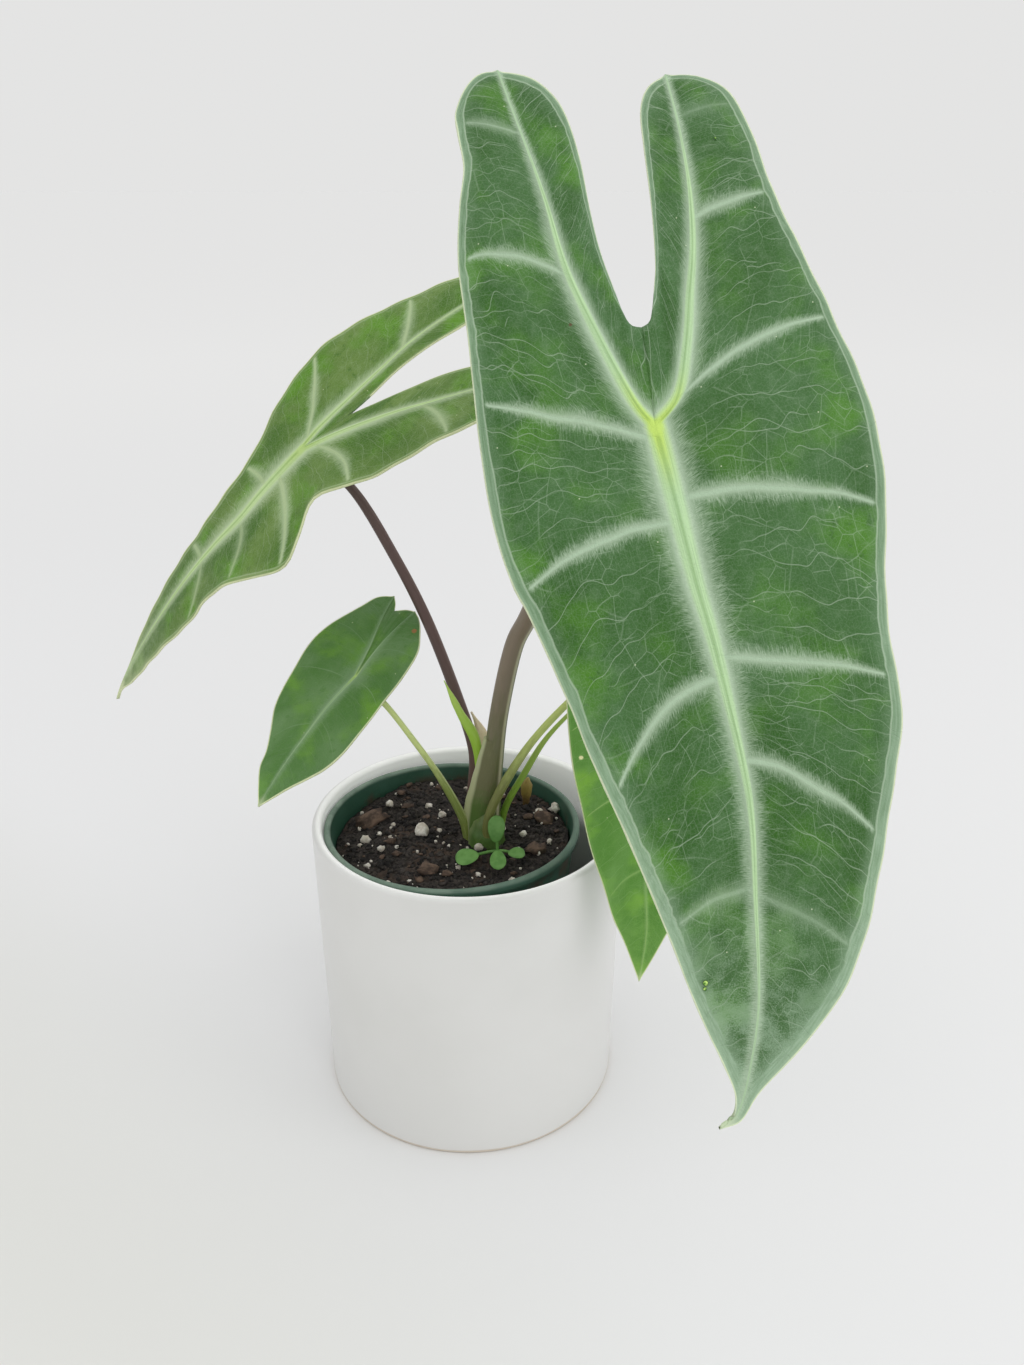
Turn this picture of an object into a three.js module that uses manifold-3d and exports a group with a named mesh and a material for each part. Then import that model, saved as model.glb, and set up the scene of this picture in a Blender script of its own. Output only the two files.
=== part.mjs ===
// Potted dragon tooth alocasia: a plant in its nursery pot, standing in a glazed outer pot.
// Millimetres, +Z up. The origin is the middle of the outer pot's flat bottom, and the plant
// is looked at along +Y. A leaf is drawn flat, with its tip towards +y and its stalk at (0, 0),
// then bent and placed.

import * as THREE from 'three';
import { mergeVertices } from 'three/addons/utils/BufferGeometryUtils.js';
import Module from 'manifold-3d';

const wasm = await Module();
wasm.setup();

// Driving dimensions of the pots
const CACHEPOT = { topRadius: 60, footRadius: 58.2, height: 115.5, wall: 3.7, floor: 5, lip: 1.85 };
const NURSERY = { rimRadius: 49.6, footRadius: 37, top: 112.3, wall: 1.3, rimWidth: 2.6, rimHeight: 3.6 };
const NURSERY_OFFSET = new THREE.Vector2(-6.2, 0);
const DRAIN = { count: 6, radius: 3.2, circle: 25 };
const GAP = 0.35;
const ROUND = 64;

// Soil: mean height of its top, height of its lumps, its net, and the plain holes beside the crown's
const SOIL = { level: 106.2, lump: 1.1, rings: 9, sectors: 36 };

// Crown: where each stalk stands on the short underground stem
const CROWN = { x: 5.5, y: -1.5, top: 103.2, radius: 10.8, bottom: 66 };
const ROOTS = { count: 6, reach: 24, thick: 1.5, thin: 0.8, deep: 30 };

// Blades
const BLADE = { thickness: 0.8, rib: 1.1, innerRungs: 3, calmWidth: 12 };
const RAD = Math.PI / 180;

// Every leaf: junction and directions of its flat drawing in space, bends in 1/mm,
// midrib, the bottom of its notch, and for each side the lobe's vein, the outer margin from
// the tip round to the lobe's end, the inner margin back to the notch, and the margin's waves
// as heights [y, z] along it.
const LARGE_LEAF = {
  name: 'blade_1', junction: [51.2, -114.9, 285.9], heading: -74, dip: 60, roll: -14,
  fold: 0.12, softness: 18, droop: 2.2, tipBend: 1 / 620, lobeBend: 1 / 450, step: 6.5, rungs: 5,
  midrib: [[0, 0], [-2, 18], [-4, 38], [-6, 52], [-9, 81], [-9.5, 95], [-8, 115], [-6, 139],
    [-2.6, 154], [1.6, 166], [7, 170.5]],
  notch: [-0.5, -23],
  sides: [
    {
      lobe: [[0, 0], [4, -7], [10, -24], [15, -42], [17.5, -62], [20, -78], [22, -90], [24, -103]],
      outer: [[7, 170.5], [3.4, 168], [2.2, 162.5], [4, 155], [9, 139], [14, 119], [20, 97], [26, 77],
        [30, 61], [36, 41], [39, 33], [41.5, 18], [42, -2], [41.3, -28], [41, -49], [38.8, -64],
        [36.4, -74], [36.6, -84], [36.4, -91], [33.5, -98], [29, -102.6], [24, -103]],
      inner: [[-0.5, -23], [3, -33], [6.2, -46], [7, -58], [7.2, -72], [8.5, -85], [11, -93],
        [16, -99.5], [24, -103]],
      waves: [[-100, 0], [-80, 1.5], [-55, -1.5], [-25, 1.2], [0, -1], [30, 1.6], [55, -1], [85, 1.4],
        [120, 0], [170, 0]],
    },
    {
      lobe: [[0, 0], [-6, -6], [-10, -18], [-13, -31], [-16, -44], [-18, -60], [-18.5, -78], [-18, -94.5]],
      outer: [[7, 170.5], [1.6, 169.4], [-3.4, 163], [-11, 156], [-23, 144], [-32, 130], [-39, 112],
        [-44, 93], [-48, 75], [-48.2, 58], [-50, 40], [-52, 24], [-52.4, 6], [-51, -8],
        [-46.5, -25], [-41, -43], [-38.6, -56], [-37.8, -68], [-35.8, -80], [-32, -88.5],
        [-26, -93.2], [-18, -94.5]],
      inner: [[-0.5, -23], [-3.6, -29], [-6.4, -39], [-8, -56], [-9, -74], [-10, -85], [-13, -91.5],
        [-18, -94.5]],
      waves: [[-90, 0], [-70, -1.5], [-45, 1.5], [-15, -1.2], [15, 1.5], [45, -1.8], [75, 1.5],
        [110, -1.5], [140, 0.5], [170, 0]],
    },
  ],
};

const LEFT_LEAF = {
  name: 'blade_2', junction: [-55.9, 8.9, 254.9], heading: -180, dip: 40, roll: 40,
  fold: 0.12, softness: 10, droop: 0, tipBend: 1 / 250, lobeBend: 1 / 200, step: 6, rungs: 4,
  midrib: [[0, 0], [-2, 22], [-3, 34], [-2, 48], [-1, 62], [1, 91], [3.5, 112], [7.4, 136], [8.4, 147]],
  notch: [-1.5, -20],
  sides: [
    {
      lobe: [[0, 0], [2, -9], [4, -23], [7, -38], [10, -50], [12, -62], [14, -76], [16, -93]],
      outer: [[8.4, 147], [8, 139], [6.8, 124], [7, 109], [8, 86], [10, 63], [10, 46], [10.5, 34],
        [14, 21], [20, 9], [24, 0], [27, -13], [30, -27],
        [31, -45], [30, -61], [28, -75], [25, -86], [21, -92], [16, -93]],
      inner: [[-1.5, -20], [0, -31], [3, -43], [5, -57], [6, -71], [8.5, -84], [12, -91], [16, -93]],
      waves: [[-93, 0], [-60, -2], [-20, 1.5], [10, -1], [35, 1], [60, -1], [90, 0], [147, 0]],
    },
    {
      lobe: [[0, 0], [-4, -11], [-9, -23], [-15, -37], [-20, -48], [-25, -61], [-28, -71], [-30, -82]],
      outer: [[8.4, 147], [6.6, 139], [-1, 124], [-10, 97], [-15.5, 77], [-17, 65], [-21, 53],
        [-27, 42], [-34, 30], [-35, 22], [-31, 14], [-27, 7],
        [-26, 0], [-30, -10], [-34.5, -26], [-38, -40], [-41, -54], [-41, -66],
        [-37.5, -76], [-30, -82]],
      inner: [[-1.5, -20], [-5, -32], [-8, -44], [-10.5, -55], [-14, -65], [-19, -74], [-24, -80],
        [-30, -82]],
      waves: [[-82, 0], [-50, 2], [-20, -1.5], [0, 2], [25, -3], [50, 1], [75, -1], [100, 0], [147, 0]],
    },
  ],
};

const SMALL_LEAF = {
  name: 'blade_3', junction: [-39.9, -3.8, 174.5], heading: -131, dip: 35, roll: 20,
  fold: 0.12, softness: 6, droop: 0, tipBend: 1 / 250, lobeBend: 1 / 250, step: 5, rungs: 4,
  midrib: [[0, 0], [1, 7], [2, 16], [2.5, 29], [3, 41], [3, 58]],
  notch: [4.6, -30.5],
  sides: [
    {
      lobe: [[0, 0], [2.6, -12], [6, -24], [8.5, -36]],
      outer: [[3, 58], [7, 52], [10.5, 46], [12, 40], [15, 33], [19, 25], [20.5, 17], [21.2, 8],
        [22, -3], [21, -10], [19, -17], [16, -25], [13.5, -32], [8.5, -36]],
      inner: [[4.6, -30.5], [6.2, -33.5], [8.5, -36]],
      waves: [[-36, 0], [0, 1], [25, -1], [58, 0]],
    },
    {
      lobe: [[0, 0], [0.2, -12], [-0.6, -24], [-2.2, -34.5]],
      outer: [[3, 58], [-3, 48], [-8, 41], [-12, 35], [-14.3, 28], [-15.2, 18], [-15.2, 3],
        [-15.4, -10], [-14, -20], [-10, -27], [-6, -32], [-2.2, -34.5]],
      inner: [[4.6, -30.5], [1.2, -33.4], [-2.2, -34.5]],
      waves: [[-34, 0], [0, -1], [30, 1], [58, 0]],
    },
  ],
};

const RIGHT_LEAF = {
  name: 'blade_4', junction: [63.3, -33.8, 193.4], heading: -92, dip: 77, roll: 0,
  fold: 0.12, softness: 10, droop: 1.5, tipBend: 1 / 1000, lobeBend: 1 / 150, step: 6.5, rungs: 4,
  midrib: [[0, 0], [-1, 21], [-1, 49], [-1, 78], [-2, 98], [0, 118]],
  notch: [0, -14],
  sides: [
    {
      lobe: [[0, 0], [3, -8], [6, -20], [9, -33], [12, -48], [13, -60]],
      outer: [[0, 118], [3, 110], [6, 102], [10, 93], [14, 80], [18.5, 67], [22, 52], [25, 39],
        [27, 24], [28, 8], [28, -10], [27, -25], [25.5, -40], [22.5, -52], [18.5, -58.5], [13, -60]],
      inner: [[0, -14], [2.4, -24], [4, -36], [5.4, -47], [8.6, -56], [13, -60]],
      waves: [[-60, 0], [-30, 1.5], [0, -1.5], [25, 1.5], [55, -1.5], [85, 0.5], [118, 0]],
    },
    {
      lobe: [[0, 0], [-3, -8], [-6, -20], [-9, -33], [-12, -46], [-13.5, -57]],
      outer: [[0, 118], [-4, 110], [-9, 99], [-14, 88], [-19, 74], [-23.5, 61], [-27, 46], [-29, 30],
        [-29.5, 12], [-29, -6], [-28, -22], [-26, -36], [-23, -48], [-19, -55], [-13.5, -57]],
      inner: [[0, -14], [-2.6, -24], [-4.4, -36], [-6, -47], [-9, -54], [-13.5, -57]],
      waves: [[-57, 0], [-25, -1.5], [10, 1.5], [40, -1.5], [75, 1], [118, 0]],
    },
  ],
};

// The leaf that the large one hides is drawn like the right one, at this size
const HIDDEN_LEAF = { scale: 0.5, name: 'blade_5', junction: [83.7, 16.7, 197], heading: -10, dip: 50,
  roll: 0, step: 5 };

// Stalks, each a smooth path from the crown to just behind its blade, with radii at both ends
const STALKS = [
  { name: 'petiole_1', radii: [4.2, 3.5, 3.3, 2.8, 1.9], sides: 14, steps: 26,
    path: [[7.6, -3.9, 104], [8.8, -3.2, 122], [10, -2.4, 138], [12.4, -3, 160], [17.6, -9, 188],
      [23.2, -18, 204], [33.4, -49, 241], [43, -84, 266], [50.6, -112.6, 284.2]] },
  { name: 'petiole_2', radii: [2.5, 2.2, 2.1, 1.9, 1.5], sides: 12, steps: 24,
    path: [[0.5, 3.6, 104], [1.9, 6, 122], [2.3, 8.1, 139], [-3.8, 11, 160], [-14.4, 12.8, 190],
      [-25.5, 12.2, 215], [-39.4, 10.6, 240.6], [-54.6, 9.8, 253.2]] },
  { name: 'petiole_3', radii: [2, 1.6, 1.2, 1.1, 1.2], sides: 10, steps: 16,
    path: [[0.4, -2.6, 104], [-2.2, -3.4, 116], [-10.6, -4, 134], [-20.5, -4.4, 150.4], [-30, -4, 164],
      [-39.4, -3.3, 173.1]] },
  { name: 'petiole_4', radii: [1.7, 1.8, 1.4, 1.25, 1.3], sides: 10, steps: 18,
    path: [[8.6, -10.2, 104], [7.6, -10.4, 116], [12, -9.4, 129], [23.5, -8.4, 149], [37, -13, 168],
      [49, -20.4, 183], [62.2, -32, 192.6]] },
  { name: 'petiole_5', radii: [1.4, 1.3, 0.8, 0.7, 0.8], sides: 8, steps: 16,
    path: [[12, 0.4, 103.6], [14.6, 0.2, 118], [22, 0.4, 133], [29.5, 0.6, 146.6], [39.6, 1.6, 158.4],
      [58.5, 8, 175.5], [82.8, 16.4, 196]] },
];

// Young growth and dry remains at the crown: paths with flattened sections
const SHOOTS = [
  { name: 'cataphyll', widths: [1.4, 1.4, 1.5, 2.2, 2.3, 1.5, 0.25], flat: 0.5, sides: 10, steps: 18,
    path: [[3.9, 0.9, 104], [4.3, 0.8, 121], [4.6, 0.9, 136], [2.8, 0.6, 148], [-2.2, 0.3, 158],
      [-8, 0, 171.5]] },
  { name: 'dried_sheath', widths: [1.2, 1.4, 1.6, 2, 0.3], flat: 0.5, sides: 8, steps: 12,
    path: [[4.4, 7.2, 103.6], [5.6, 8.8, 120], [6.1, 9.8, 135], [5.2, 10.6, 145], [1.4, 11.6, 153.5]] },
  { name: 'old_sprout', widths: [1.4, 1.4, 1.4, 2.2, 2.4, 0.5], flat: 0.7, sides: 8, steps: 10,
    path: [[22.9, 24.4, 101], [22.9, 24.4, 109], [23, 24.5, 113.5], [23.6, 24.8, 118]] },
];

// Seedling: stalk foot, and for each small leaf its middle, facing direction and size
const SEEDLING = {
  foot: [11.6, -16.8, 103], clear: 108.6, stem: 0.7, leafThickness: 1,
  leaves: [
    { at: [11.2, -15.4, 117.4], stand: [0, -0.93, 0.36], along: [0.05, 0.36, 0.93], length: 10.4,
      width: 6.4 },
    { at: [0.4, -23.6, 110.3], stand: [-0.1, -0.3, 0.95], along: [-1, -0.15, -0.05], length: 8.8,
      width: 8 },
    { at: [11.9, -26.2, 110.7], stand: [0, -0.4, 0.9], along: [0.05, -0.9, -0.4], length: 8.6,
      width: 6 },
    { at: [18.8, -20.8, 110.2], stand: [0.1, -0.4, 0.9], along: [1, 0.1, 0], length: 6.4, width: 5 },
  ],
};

// Materials
const paint = (color, roughness) => new THREE.MeshStandardMaterial({ color, roughness, metalness: 0 });
const MATERIALS = {
  glaze: paint(0xf1f0ec, 0.35),
  pot: paint(0x2c4a3d, 0.5),
  soil: paint(0x2c241f, 0.95),
  corm: paint(0x8a6a48, 0.8),
  darkLeaf: paint(0x3f7a4c, 0.5),
  paleLeaf: paint(0x6a9a4c, 0.5),
  mauve: paint(0x5b4440, 0.55),
  olive: paint(0x7f8f3f, 0.55),
  fresh: paint(0x9cc24a, 0.5),
  dry: paint(0x6b4a2c, 0.85),
};

const part = new THREE.Group();

function addPiece(name, geometry, material) {
  const piece = new THREE.Mesh(geometry, material);
  piece.name = name;
  part.add(piece);
  return piece;
}

// Solid helpers

function weld(geometry) {
  const plain = geometry.clone();
  plain.deleteAttribute('normal');
  plain.deleteAttribute('uv');
  return mergeVertices(plain, 1e-4);
}

function toSolid(geometry) {
  const welded = weld(geometry);
  return new wasm.Manifold(new wasm.Mesh({
    numProp: 3,
    vertProperties: new Float32Array(welded.attributes.position.array),
    triVerts: new Uint32Array(welded.index.array),
  }));
}

function fromSolid(solid) {
  const mesh = solid.getMesh();
  const geometry = new THREE.BufferGeometry();
  geometry.setAttribute('position', new THREE.BufferAttribute(new Float32Array(mesh.vertProperties), 3));
  geometry.setIndex(new THREE.BufferAttribute(new Uint32Array(mesh.triVerts), 1));
  geometry.computeVertexNormals();
  return geometry;
}

function fromTriangles(points, triangles) {
  const geometry = new THREE.BufferGeometry();
  geometry.setAttribute('position', new THREE.Float32BufferAttribute(points.flatMap((p) => [p.x, p.y,
    p.z]), 3));
  geometry.setIndex(triangles.flat());
  const welded = mergeVertices(geometry, 1e-4);
  welded.computeVertexNormals();
  return welded;
}

// A closed loft through rings of equal point counts, capped by a middle point at both ends
function loft(rings) {
  const count = rings[0].length;
  const points = rings.flat();
  const triangles = [];
  for (let r = 0; r + 1 < rings.length; r += 1) {
    for (let s = 0; s < count; s += 1) {
      const a = r * count + s;
      const b = r * count + (s + 1) % count;
      triangles.push([a, b, b + count], [a, b + count, a + count]);
    }
  }
  const caps = [rings[0], rings[rings.length - 1]];
  caps.forEach((ring, end) => {
    const middle = ring.reduce((sum, p) => sum.add(p), new THREE.Vector3()).divideScalar(count);
    const centre = points.push(middle) - 1;
    const first = end === 0 ? 0 : (rings.length - 1) * count;
    for (let s = 0; s < count; s += 1) {
      const a = first + s;
      const b = first + (s + 1) % count;
      triangles.push(end === 0 ? [centre, b, a] : [centre, a, b]);
    }
  });
  return fromTriangles(points, triangles);
}

// Reads a short list of values as a smooth run from 0 to 1
function blend(values, t) {
  const place = Math.min(t, 1) * (values.length - 1);
  const i = Math.min(Math.floor(place), values.length - 2);
  const f = place - i;
  const soft = f * f * (3 - 2 * f);
  return values[i] + (values[i + 1] - values[i]) * soft;
}

// A stalk or shoot: rings across a smooth path, level at its foot, with a chosen flatness
function stalkGeometry({ path, steps, sides }, size, flat = 1) {
  const curve = new THREE.CatmullRomCurve3(path.map((p) => new THREE.Vector3(...p)), false, 'centripetal');
  const rings = [];
  for (let k = 0; k <= steps; k += 1) {
    const t = k / steps;
    const centre = curve.getPointAt(t);
    const along = t === 0 ? new THREE.Vector3(0, 0, 1) : curve.getTangentAt(t);
    const across = new THREE.Vector3(0, 1, 0).cross(along).normalize();
    const back = along.clone().cross(across);
    const ring = [];
    for (let s = 0; s < sides; s += 1) {
      const a = (2 * Math.PI * s) / sides;
      ring.push(centre.clone()
        .addScaledVector(across, Math.cos(a) * blend(size, t))
        .addScaledVector(back, Math.sin(a) * blend(size, t) * flat));
    }
    rings.push(ring);
  }
  return loft(rings);
}

// Leaves

// A smooth margin or vein as a fine chain of points with its running length
function chain(points, closeness = 12) {
  const curve = new THREE.SplineCurve(points.map((p) => new THREE.Vector2(...p)));
  const fine = curve.getPoints((points.length - 1) * closeness);
  const length = [0];
  for (let i = 1; i < fine.length; i += 1) {
    length.push(length[i - 1] + fine[i].distanceTo(fine[i - 1]));
  }
  return { fine, length, total: length[length.length - 1] };
}

function alongChain(line, share) {
  const target = share * line.total;
  let i = 1;
  while (i < line.length.length - 1 && line.length[i] < target) i += 1;
  const part = (target - line.length[i - 1]) / (line.length[i] - line.length[i - 1] || 1);
  return line.fine[i - 1].clone().lerp(line.fine[i], Math.min(Math.max(part, 0), 1));
}

// Linear reading of [key, value] pairs sorted by key, with soft steps between them
function readPairs(pairs, key) {
  if (key <= pairs[0][0]) return pairs[0][1];
  for (let i = 1; i < pairs.length; i += 1) {
    if (key <= pairs[i][0]) {
      const f = (key - pairs[i - 1][0]) / (pairs[i][0] - pairs[i - 1][0]);
      return pairs[i - 1][1] + (pairs[i][1] - pairs[i - 1][1]) * f * f * (3 - 2 * f);
    }
  }
  return pairs[pairs.length - 1][1];
}

// The unit directions of a leaf's flat drawing in space
function leafAxes({ heading, dip, roll }) {
  const h = heading * RAD;
  const d = dip * RAD;
  const r = roll * RAD;
  const ey = new THREE.Vector3(Math.cos(d) * Math.cos(h), Math.cos(d) * Math.sin(h), -Math.sin(d));
  const up = new THREE.Vector3(Math.sin(d) * Math.cos(h), Math.sin(d) * Math.sin(h), Math.cos(d));
  const side = ey.clone().cross(up);
  const ex = side.clone().multiplyScalar(Math.cos(r)).addScaledVector(up, Math.sin(r));
  const ez = up.clone().multiplyScalar(Math.cos(r)).addScaledVector(side, -Math.sin(r));
  return { ex, ey, ez };
}

// Bends a flat point (x, y) with a height above the drawing and puts it in space
function placeOnLeaf(leaf, axes, x, y, lift) {
  const trough = leaf.fold * (Math.hypot(x, leaf.softness) - leaf.softness) - leaf.droop * x * x / 1000;
  const z = trough + lift;
  const bend = y > 0 ? leaf.tipBend : leaf.lobeBend;
  const turn = bend * y;
  const along = Math.sin(turn) / bend + Math.sin(turn) * z;
  const height = Math.cos(turn) * z - (1 - Math.cos(turn)) / bend;
  return new THREE.Vector3(...leaf.junction)
    .addScaledVector(axes.ex, x)
    .addScaledVector(axes.ey, along)
    .addScaledVector(axes.ez, height);
}

// The blade's middle surface as a net of rungs from the veins out to the margin
function bladeNet(leaf) {
  const axes = leafAxes(leaf);
  const points = [];
  const triangles = [];
  const ribs = [];
  const midrib = chain(leaf.midrib);
  const tipStations = Math.round(midrib.total / leaf.step);
  const rib = (share) => BLADE.rib * (1 - 0.8 * share);
  const notch = new THREE.Vector2(...leaf.notch);

  function addNet(stations, flip) {
    const first = points.length;
    const wide = stations[0].length;
    stations.forEach((rung) => rung.forEach(({ p, lift, thick }) => {
      points.push(placeOnLeaf(leaf, axes, p.x, p.y, lift));
      ribs.push(thick);
    }));
    for (let i = 0; i + 1 < stations.length; i += 1) {
      for (let j = 0; j + 1 < wide; j += 1) {
        const a = first + i * wide + j;
        const quad = [a, a + 1, a + 1 + wide, a + wide];
        const order = flip ? [0, 3, 2, 1] : [0, 1, 2, 3];
        const [k, l, m, n] = order.map((o) => quad[o]);
        triangles.push([k, l, m], [k, m, n]);
      }
    }
  }

  leaf.sides.forEach((side, which) => {
    const lobe = chain(side.lobe);
    const outer = chain(side.outer);
    const inner = chain(side.inner);
    const lobeStations = Math.round(lobe.total / leaf.step);
    const split = outerShare(outer, leaf.midrib[0][1]);
    const outerNet = [];
    for (let i = 0; i <= tipStations; i += 1) {
      const t = i / tipStations;
      outerNet.push({ root: alongChain(midrib, 1 - t), end: alongChain(outer, split * t),
        thick: rib(1 - t) });
    }
    for (let i = 1; i <= lobeStations; i += 1) {
      const t = i / lobeStations;
      outerNet.push({ root: alongChain(lobe, t), end: alongChain(outer, split + (1 - split) * t),
        thick: rib(t) });
    }
    addNet(outerNet.map((rung) => rungPoints(leaf, side, rung, leaf.rungs)), which === 1);
    const innerNet = [];
    for (let i = 0; i <= lobeStations; i += 1) {
      const t = i / lobeStations;
      const end = t === 0 ? notch : alongChain(inner, t);
      innerNet.push({ root: alongChain(lobe, t), end, thick: rib(t), calm: true });
    }
    addNet(innerNet.map((rung) => rungPoints(leaf, side, rung, BLADE.innerRungs)), which === 0);
  });
  return { points, triangles, ribs };
}

// How far round the outer margin its height passes y
function outerShare(outer, y) {
  const i = outer.fine.findIndex((p) => p.y <= y);
  return outer.length[i] / outer.total;
}

function rungPoints(leaf, side, { root, end, thick, calm }, count) {
  const rung = [];
  for (let j = 0; j <= count; j += 1) {
    const v = j / count;
    const p = root.clone().lerp(end, v);
    const width = Math.min(root.distanceTo(end) / BLADE.calmWidth, 1);
    const lift = calm ? 0 : readPairs(side.waves, end.y) * v * v * width;
    rung.push({ p, lift, thick: j === 0 ? thick : 0 });
  }
  return rung;
}

// Gives a middle surface its thickness, with the same triangles on both faces and a closed rim
function thicken({ points, triangles, ribs }, thickness) {
  const keyOf = (p) => `${p.x.toFixed(3)},${p.y.toFixed(3)},${p.z.toFixed(3)}`;
  const known = new Map();
  const merged = [];
  const thick = [];
  const index = points.map((p, i) => {
    const key = keyOf(p);
    if (!known.has(key)) {
      known.set(key, merged.length);
      merged.push(p);
      thick.push(0);
    }
    const at = known.get(key);
    thick[at] = Math.max(thick[at], ribs[i]);
    return at;
  });
  const faces = triangles
    .map((t) => t.map((i) => index[i]))
    .filter(([a, b, c]) => a !== b && b !== c && a !== c);
  const normals = merged.map(() => new THREE.Vector3());
  faces.forEach(([a, b, c]) => {
    const ab = merged[b].clone().sub(merged[a]);
    const ac = merged[c].clone().sub(merged[a]);
    const n = ab.cross(ac);
    [a, b, c].forEach((i) => normals[i].add(n));
  });
  normals.forEach((n) => n.normalize());
  const top = merged.map((p, i) => p.clone().addScaledVector(normals[i], thickness / 2));
  const below = merged.map((p, i) => p.clone().addScaledVector(normals[i], -thickness / 2 - thick[i]));
  const count = merged.length;
  const solid = [];
  const edges = new Map();
  faces.forEach(([a, b, c]) => {
    solid.push([a, b, c], [a + count, c + count, b + count]);
    [[a, b], [b, c], [c, a]].forEach(([p, q]) => edges.set(`${p},${q}`, [p, q]));
  });
  edges.forEach(([p, q]) => {
    if (!edges.has(`${q},${p}`)) solid.push([q, p, p + count], [q, p + count, q + count]);
  });
  return fromTriangles([...top, ...below], solid);
}

function bladeGeometry(leaf) {
  return thicken(bladeNet(leaf), BLADE.thickness);
}

function scaledLeaf(leaf, { scale, ...changes }) {
  const smaller = (pairs) => pairs.map(([x, y]) => [x * scale, y * scale]);
  return {
    ...leaf,
    ...changes,
    tipBend: leaf.tipBend / scale,
    lobeBend: leaf.lobeBend / scale,
    softness: leaf.softness * scale,
    droop: leaf.droop / scale,
    midrib: smaller(leaf.midrib),
    notch: leaf.notch.map((v) => v * scale),
    sides: leaf.sides.map(({ lobe, outer, inner, waves }) => ({
      lobe: smaller(lobe), outer: smaller(outer), inner: smaller(inner), waves: smaller(waves),
    })),
  };
}

// Pots

function cachepotGeometry() {
  const { topRadius, footRadius, height, wall, floor, lip } = CACHEPOT;
  const innerTop = topRadius - wall;
  const innerFoot = footRadius - wall;
  const profile = [[0, 0], [footRadius - 1.6, 0], [footRadius, 1.6], [topRadius, height - lip]];
  for (let k = 1; k < 6; k += 1) {
    const a = (Math.PI * k) / 6;
    profile.push([topRadius - wall / 2 + (wall / 2) * Math.cos(a), height - lip + lip * Math.sin(a)]);
  }
  profile.push([innerTop, height - lip], [innerFoot, floor + 4], [innerFoot - 4, floor], [0, floor]);
  return lathe(profile);
}

function lathe(profile) {
  const geometry = new THREE.LatheGeometry(profile.map((p) => new THREE.Vector2(...p)), ROUND);
  geometry.rotateX(Math.PI / 2);
  return weld(geometry);
}

function nurseryProfile() {
  const { rimRadius, footRadius, top, wall, rimWidth, rimHeight } = NURSERY;
  const foot = CACHEPOT.floor + GAP;
  const wallTop = rimRadius - rimWidth + wall;
  return [
    [0, foot], [footRadius - 1, foot], [footRadius, foot + 1], [wallTop - 0.6, top - rimHeight],
    [rimRadius - 0.5, top - rimHeight], [rimRadius, top - rimHeight + 0.8], [rimRadius, top - 1.2],
    [rimRadius - 0.7, top],
    [rimRadius - rimWidth + 0.6, top], [rimRadius - rimWidth, top - 0.7],
    [innerRadius(top - rimHeight), top - rimHeight], [footRadius - wall, foot + wall], [0, foot + wall],
  ];
}

// The nursery pot's inner radius at a height
function innerRadius(z) {
  const { rimRadius, footRadius, top, wall, rimWidth, rimHeight } = NURSERY;
  const foot = CACHEPOT.floor + GAP + wall;
  const share = (z - foot) / (top - rimHeight - foot);
  return footRadius - wall + (rimRadius - rimWidth - 0.6 - footRadius + wall) * share;
}

function nurseryGeometry() {
  let solid = toSolid(lathe(nurseryProfile()));
  for (let k = 0; k < DRAIN.count; k += 1) {
    const a = (2 * Math.PI * k) / DRAIN.count;
    const hole = new THREE.CylinderGeometry(DRAIN.radius, DRAIN.radius, 8, 12);
    hole.rotateX(Math.PI / 2);
    hole.translate(DRAIN.circle * Math.cos(a), DRAIN.circle * Math.sin(a), CACHEPOT.floor + 1);
    solid = solid.subtract(toSolid(hole));
  }
  return fromSolid(solid).translate(NURSERY_OFFSET.x, NURSERY_OFFSET.y, 0);
}

// Soil with lumps raised from its surface by a formula, and a plain hole for the crown

function lumps(x, y) {
  const wave = Math.sin(x * 0.31 + 1.7 * Math.sin(y * 0.23)) + Math.sin(y * 0.37 + 1.3 * Math.cos(x * 0.29));
  const grain = Math.sin(x * 1.1 + y * 0.7) * Math.sin(y * 1.3 - x * 0.4);
  return SOIL.lump * (0.4 * wave + 0.5 * grain);
}

function soilGeometry() {
  const wallGap = GAP;
  const foot = CACHEPOT.floor + GAP + NURSERY.wall + GAP;
  const rings = [];
  const ringAt = (radius, height) => {
    const ring = [];
    for (let s = 0; s < SOIL.sectors; s += 1) {
      const a = (2 * Math.PI * s) / SOIL.sectors;
      const x = radius * Math.cos(a);
      const y = radius * Math.sin(a);
      ring.push(new THREE.Vector3(x, y, height === null ? SOIL.level + lumps(x, y) : height));
    }
    return ring;
  };
  const edge = innerRadius(SOIL.level) - wallGap;
  rings.push(ringAt(innerRadius(foot) - wallGap, foot), ringAt(edge - 0.6, SOIL.level - 3));
  for (let r = 0; r < SOIL.rings; r += 1) {
    rings.push(ringAt((edge - 0.8) * (1 - r / SOIL.rings), null));
  }
  const lump = loft(rings).translate(NURSERY_OFFSET.x, NURSERY_OFFSET.y, 0);
  let solid = toSolid(lump).subtract(crownSolid(GAP));
  const sprout = SHOOTS.find(({ name }) => name === 'old_sprout');
  const stems = [[sprout.path[0], sprout.widths[0]], [SEEDLING.foot, SEEDLING.stem]];
  stems.forEach(([[x, y, z], radius]) => {
    const hole = new THREE.CylinderGeometry(radius + 0.6, radius + GAP, 12, 12);
    hole.rotateX(Math.PI / 2);
    hole.translate(x, y, z - GAP + 6);
    solid = solid.subtract(toSolid(hole));
  });
  return fromSolid(solid);
}

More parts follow.
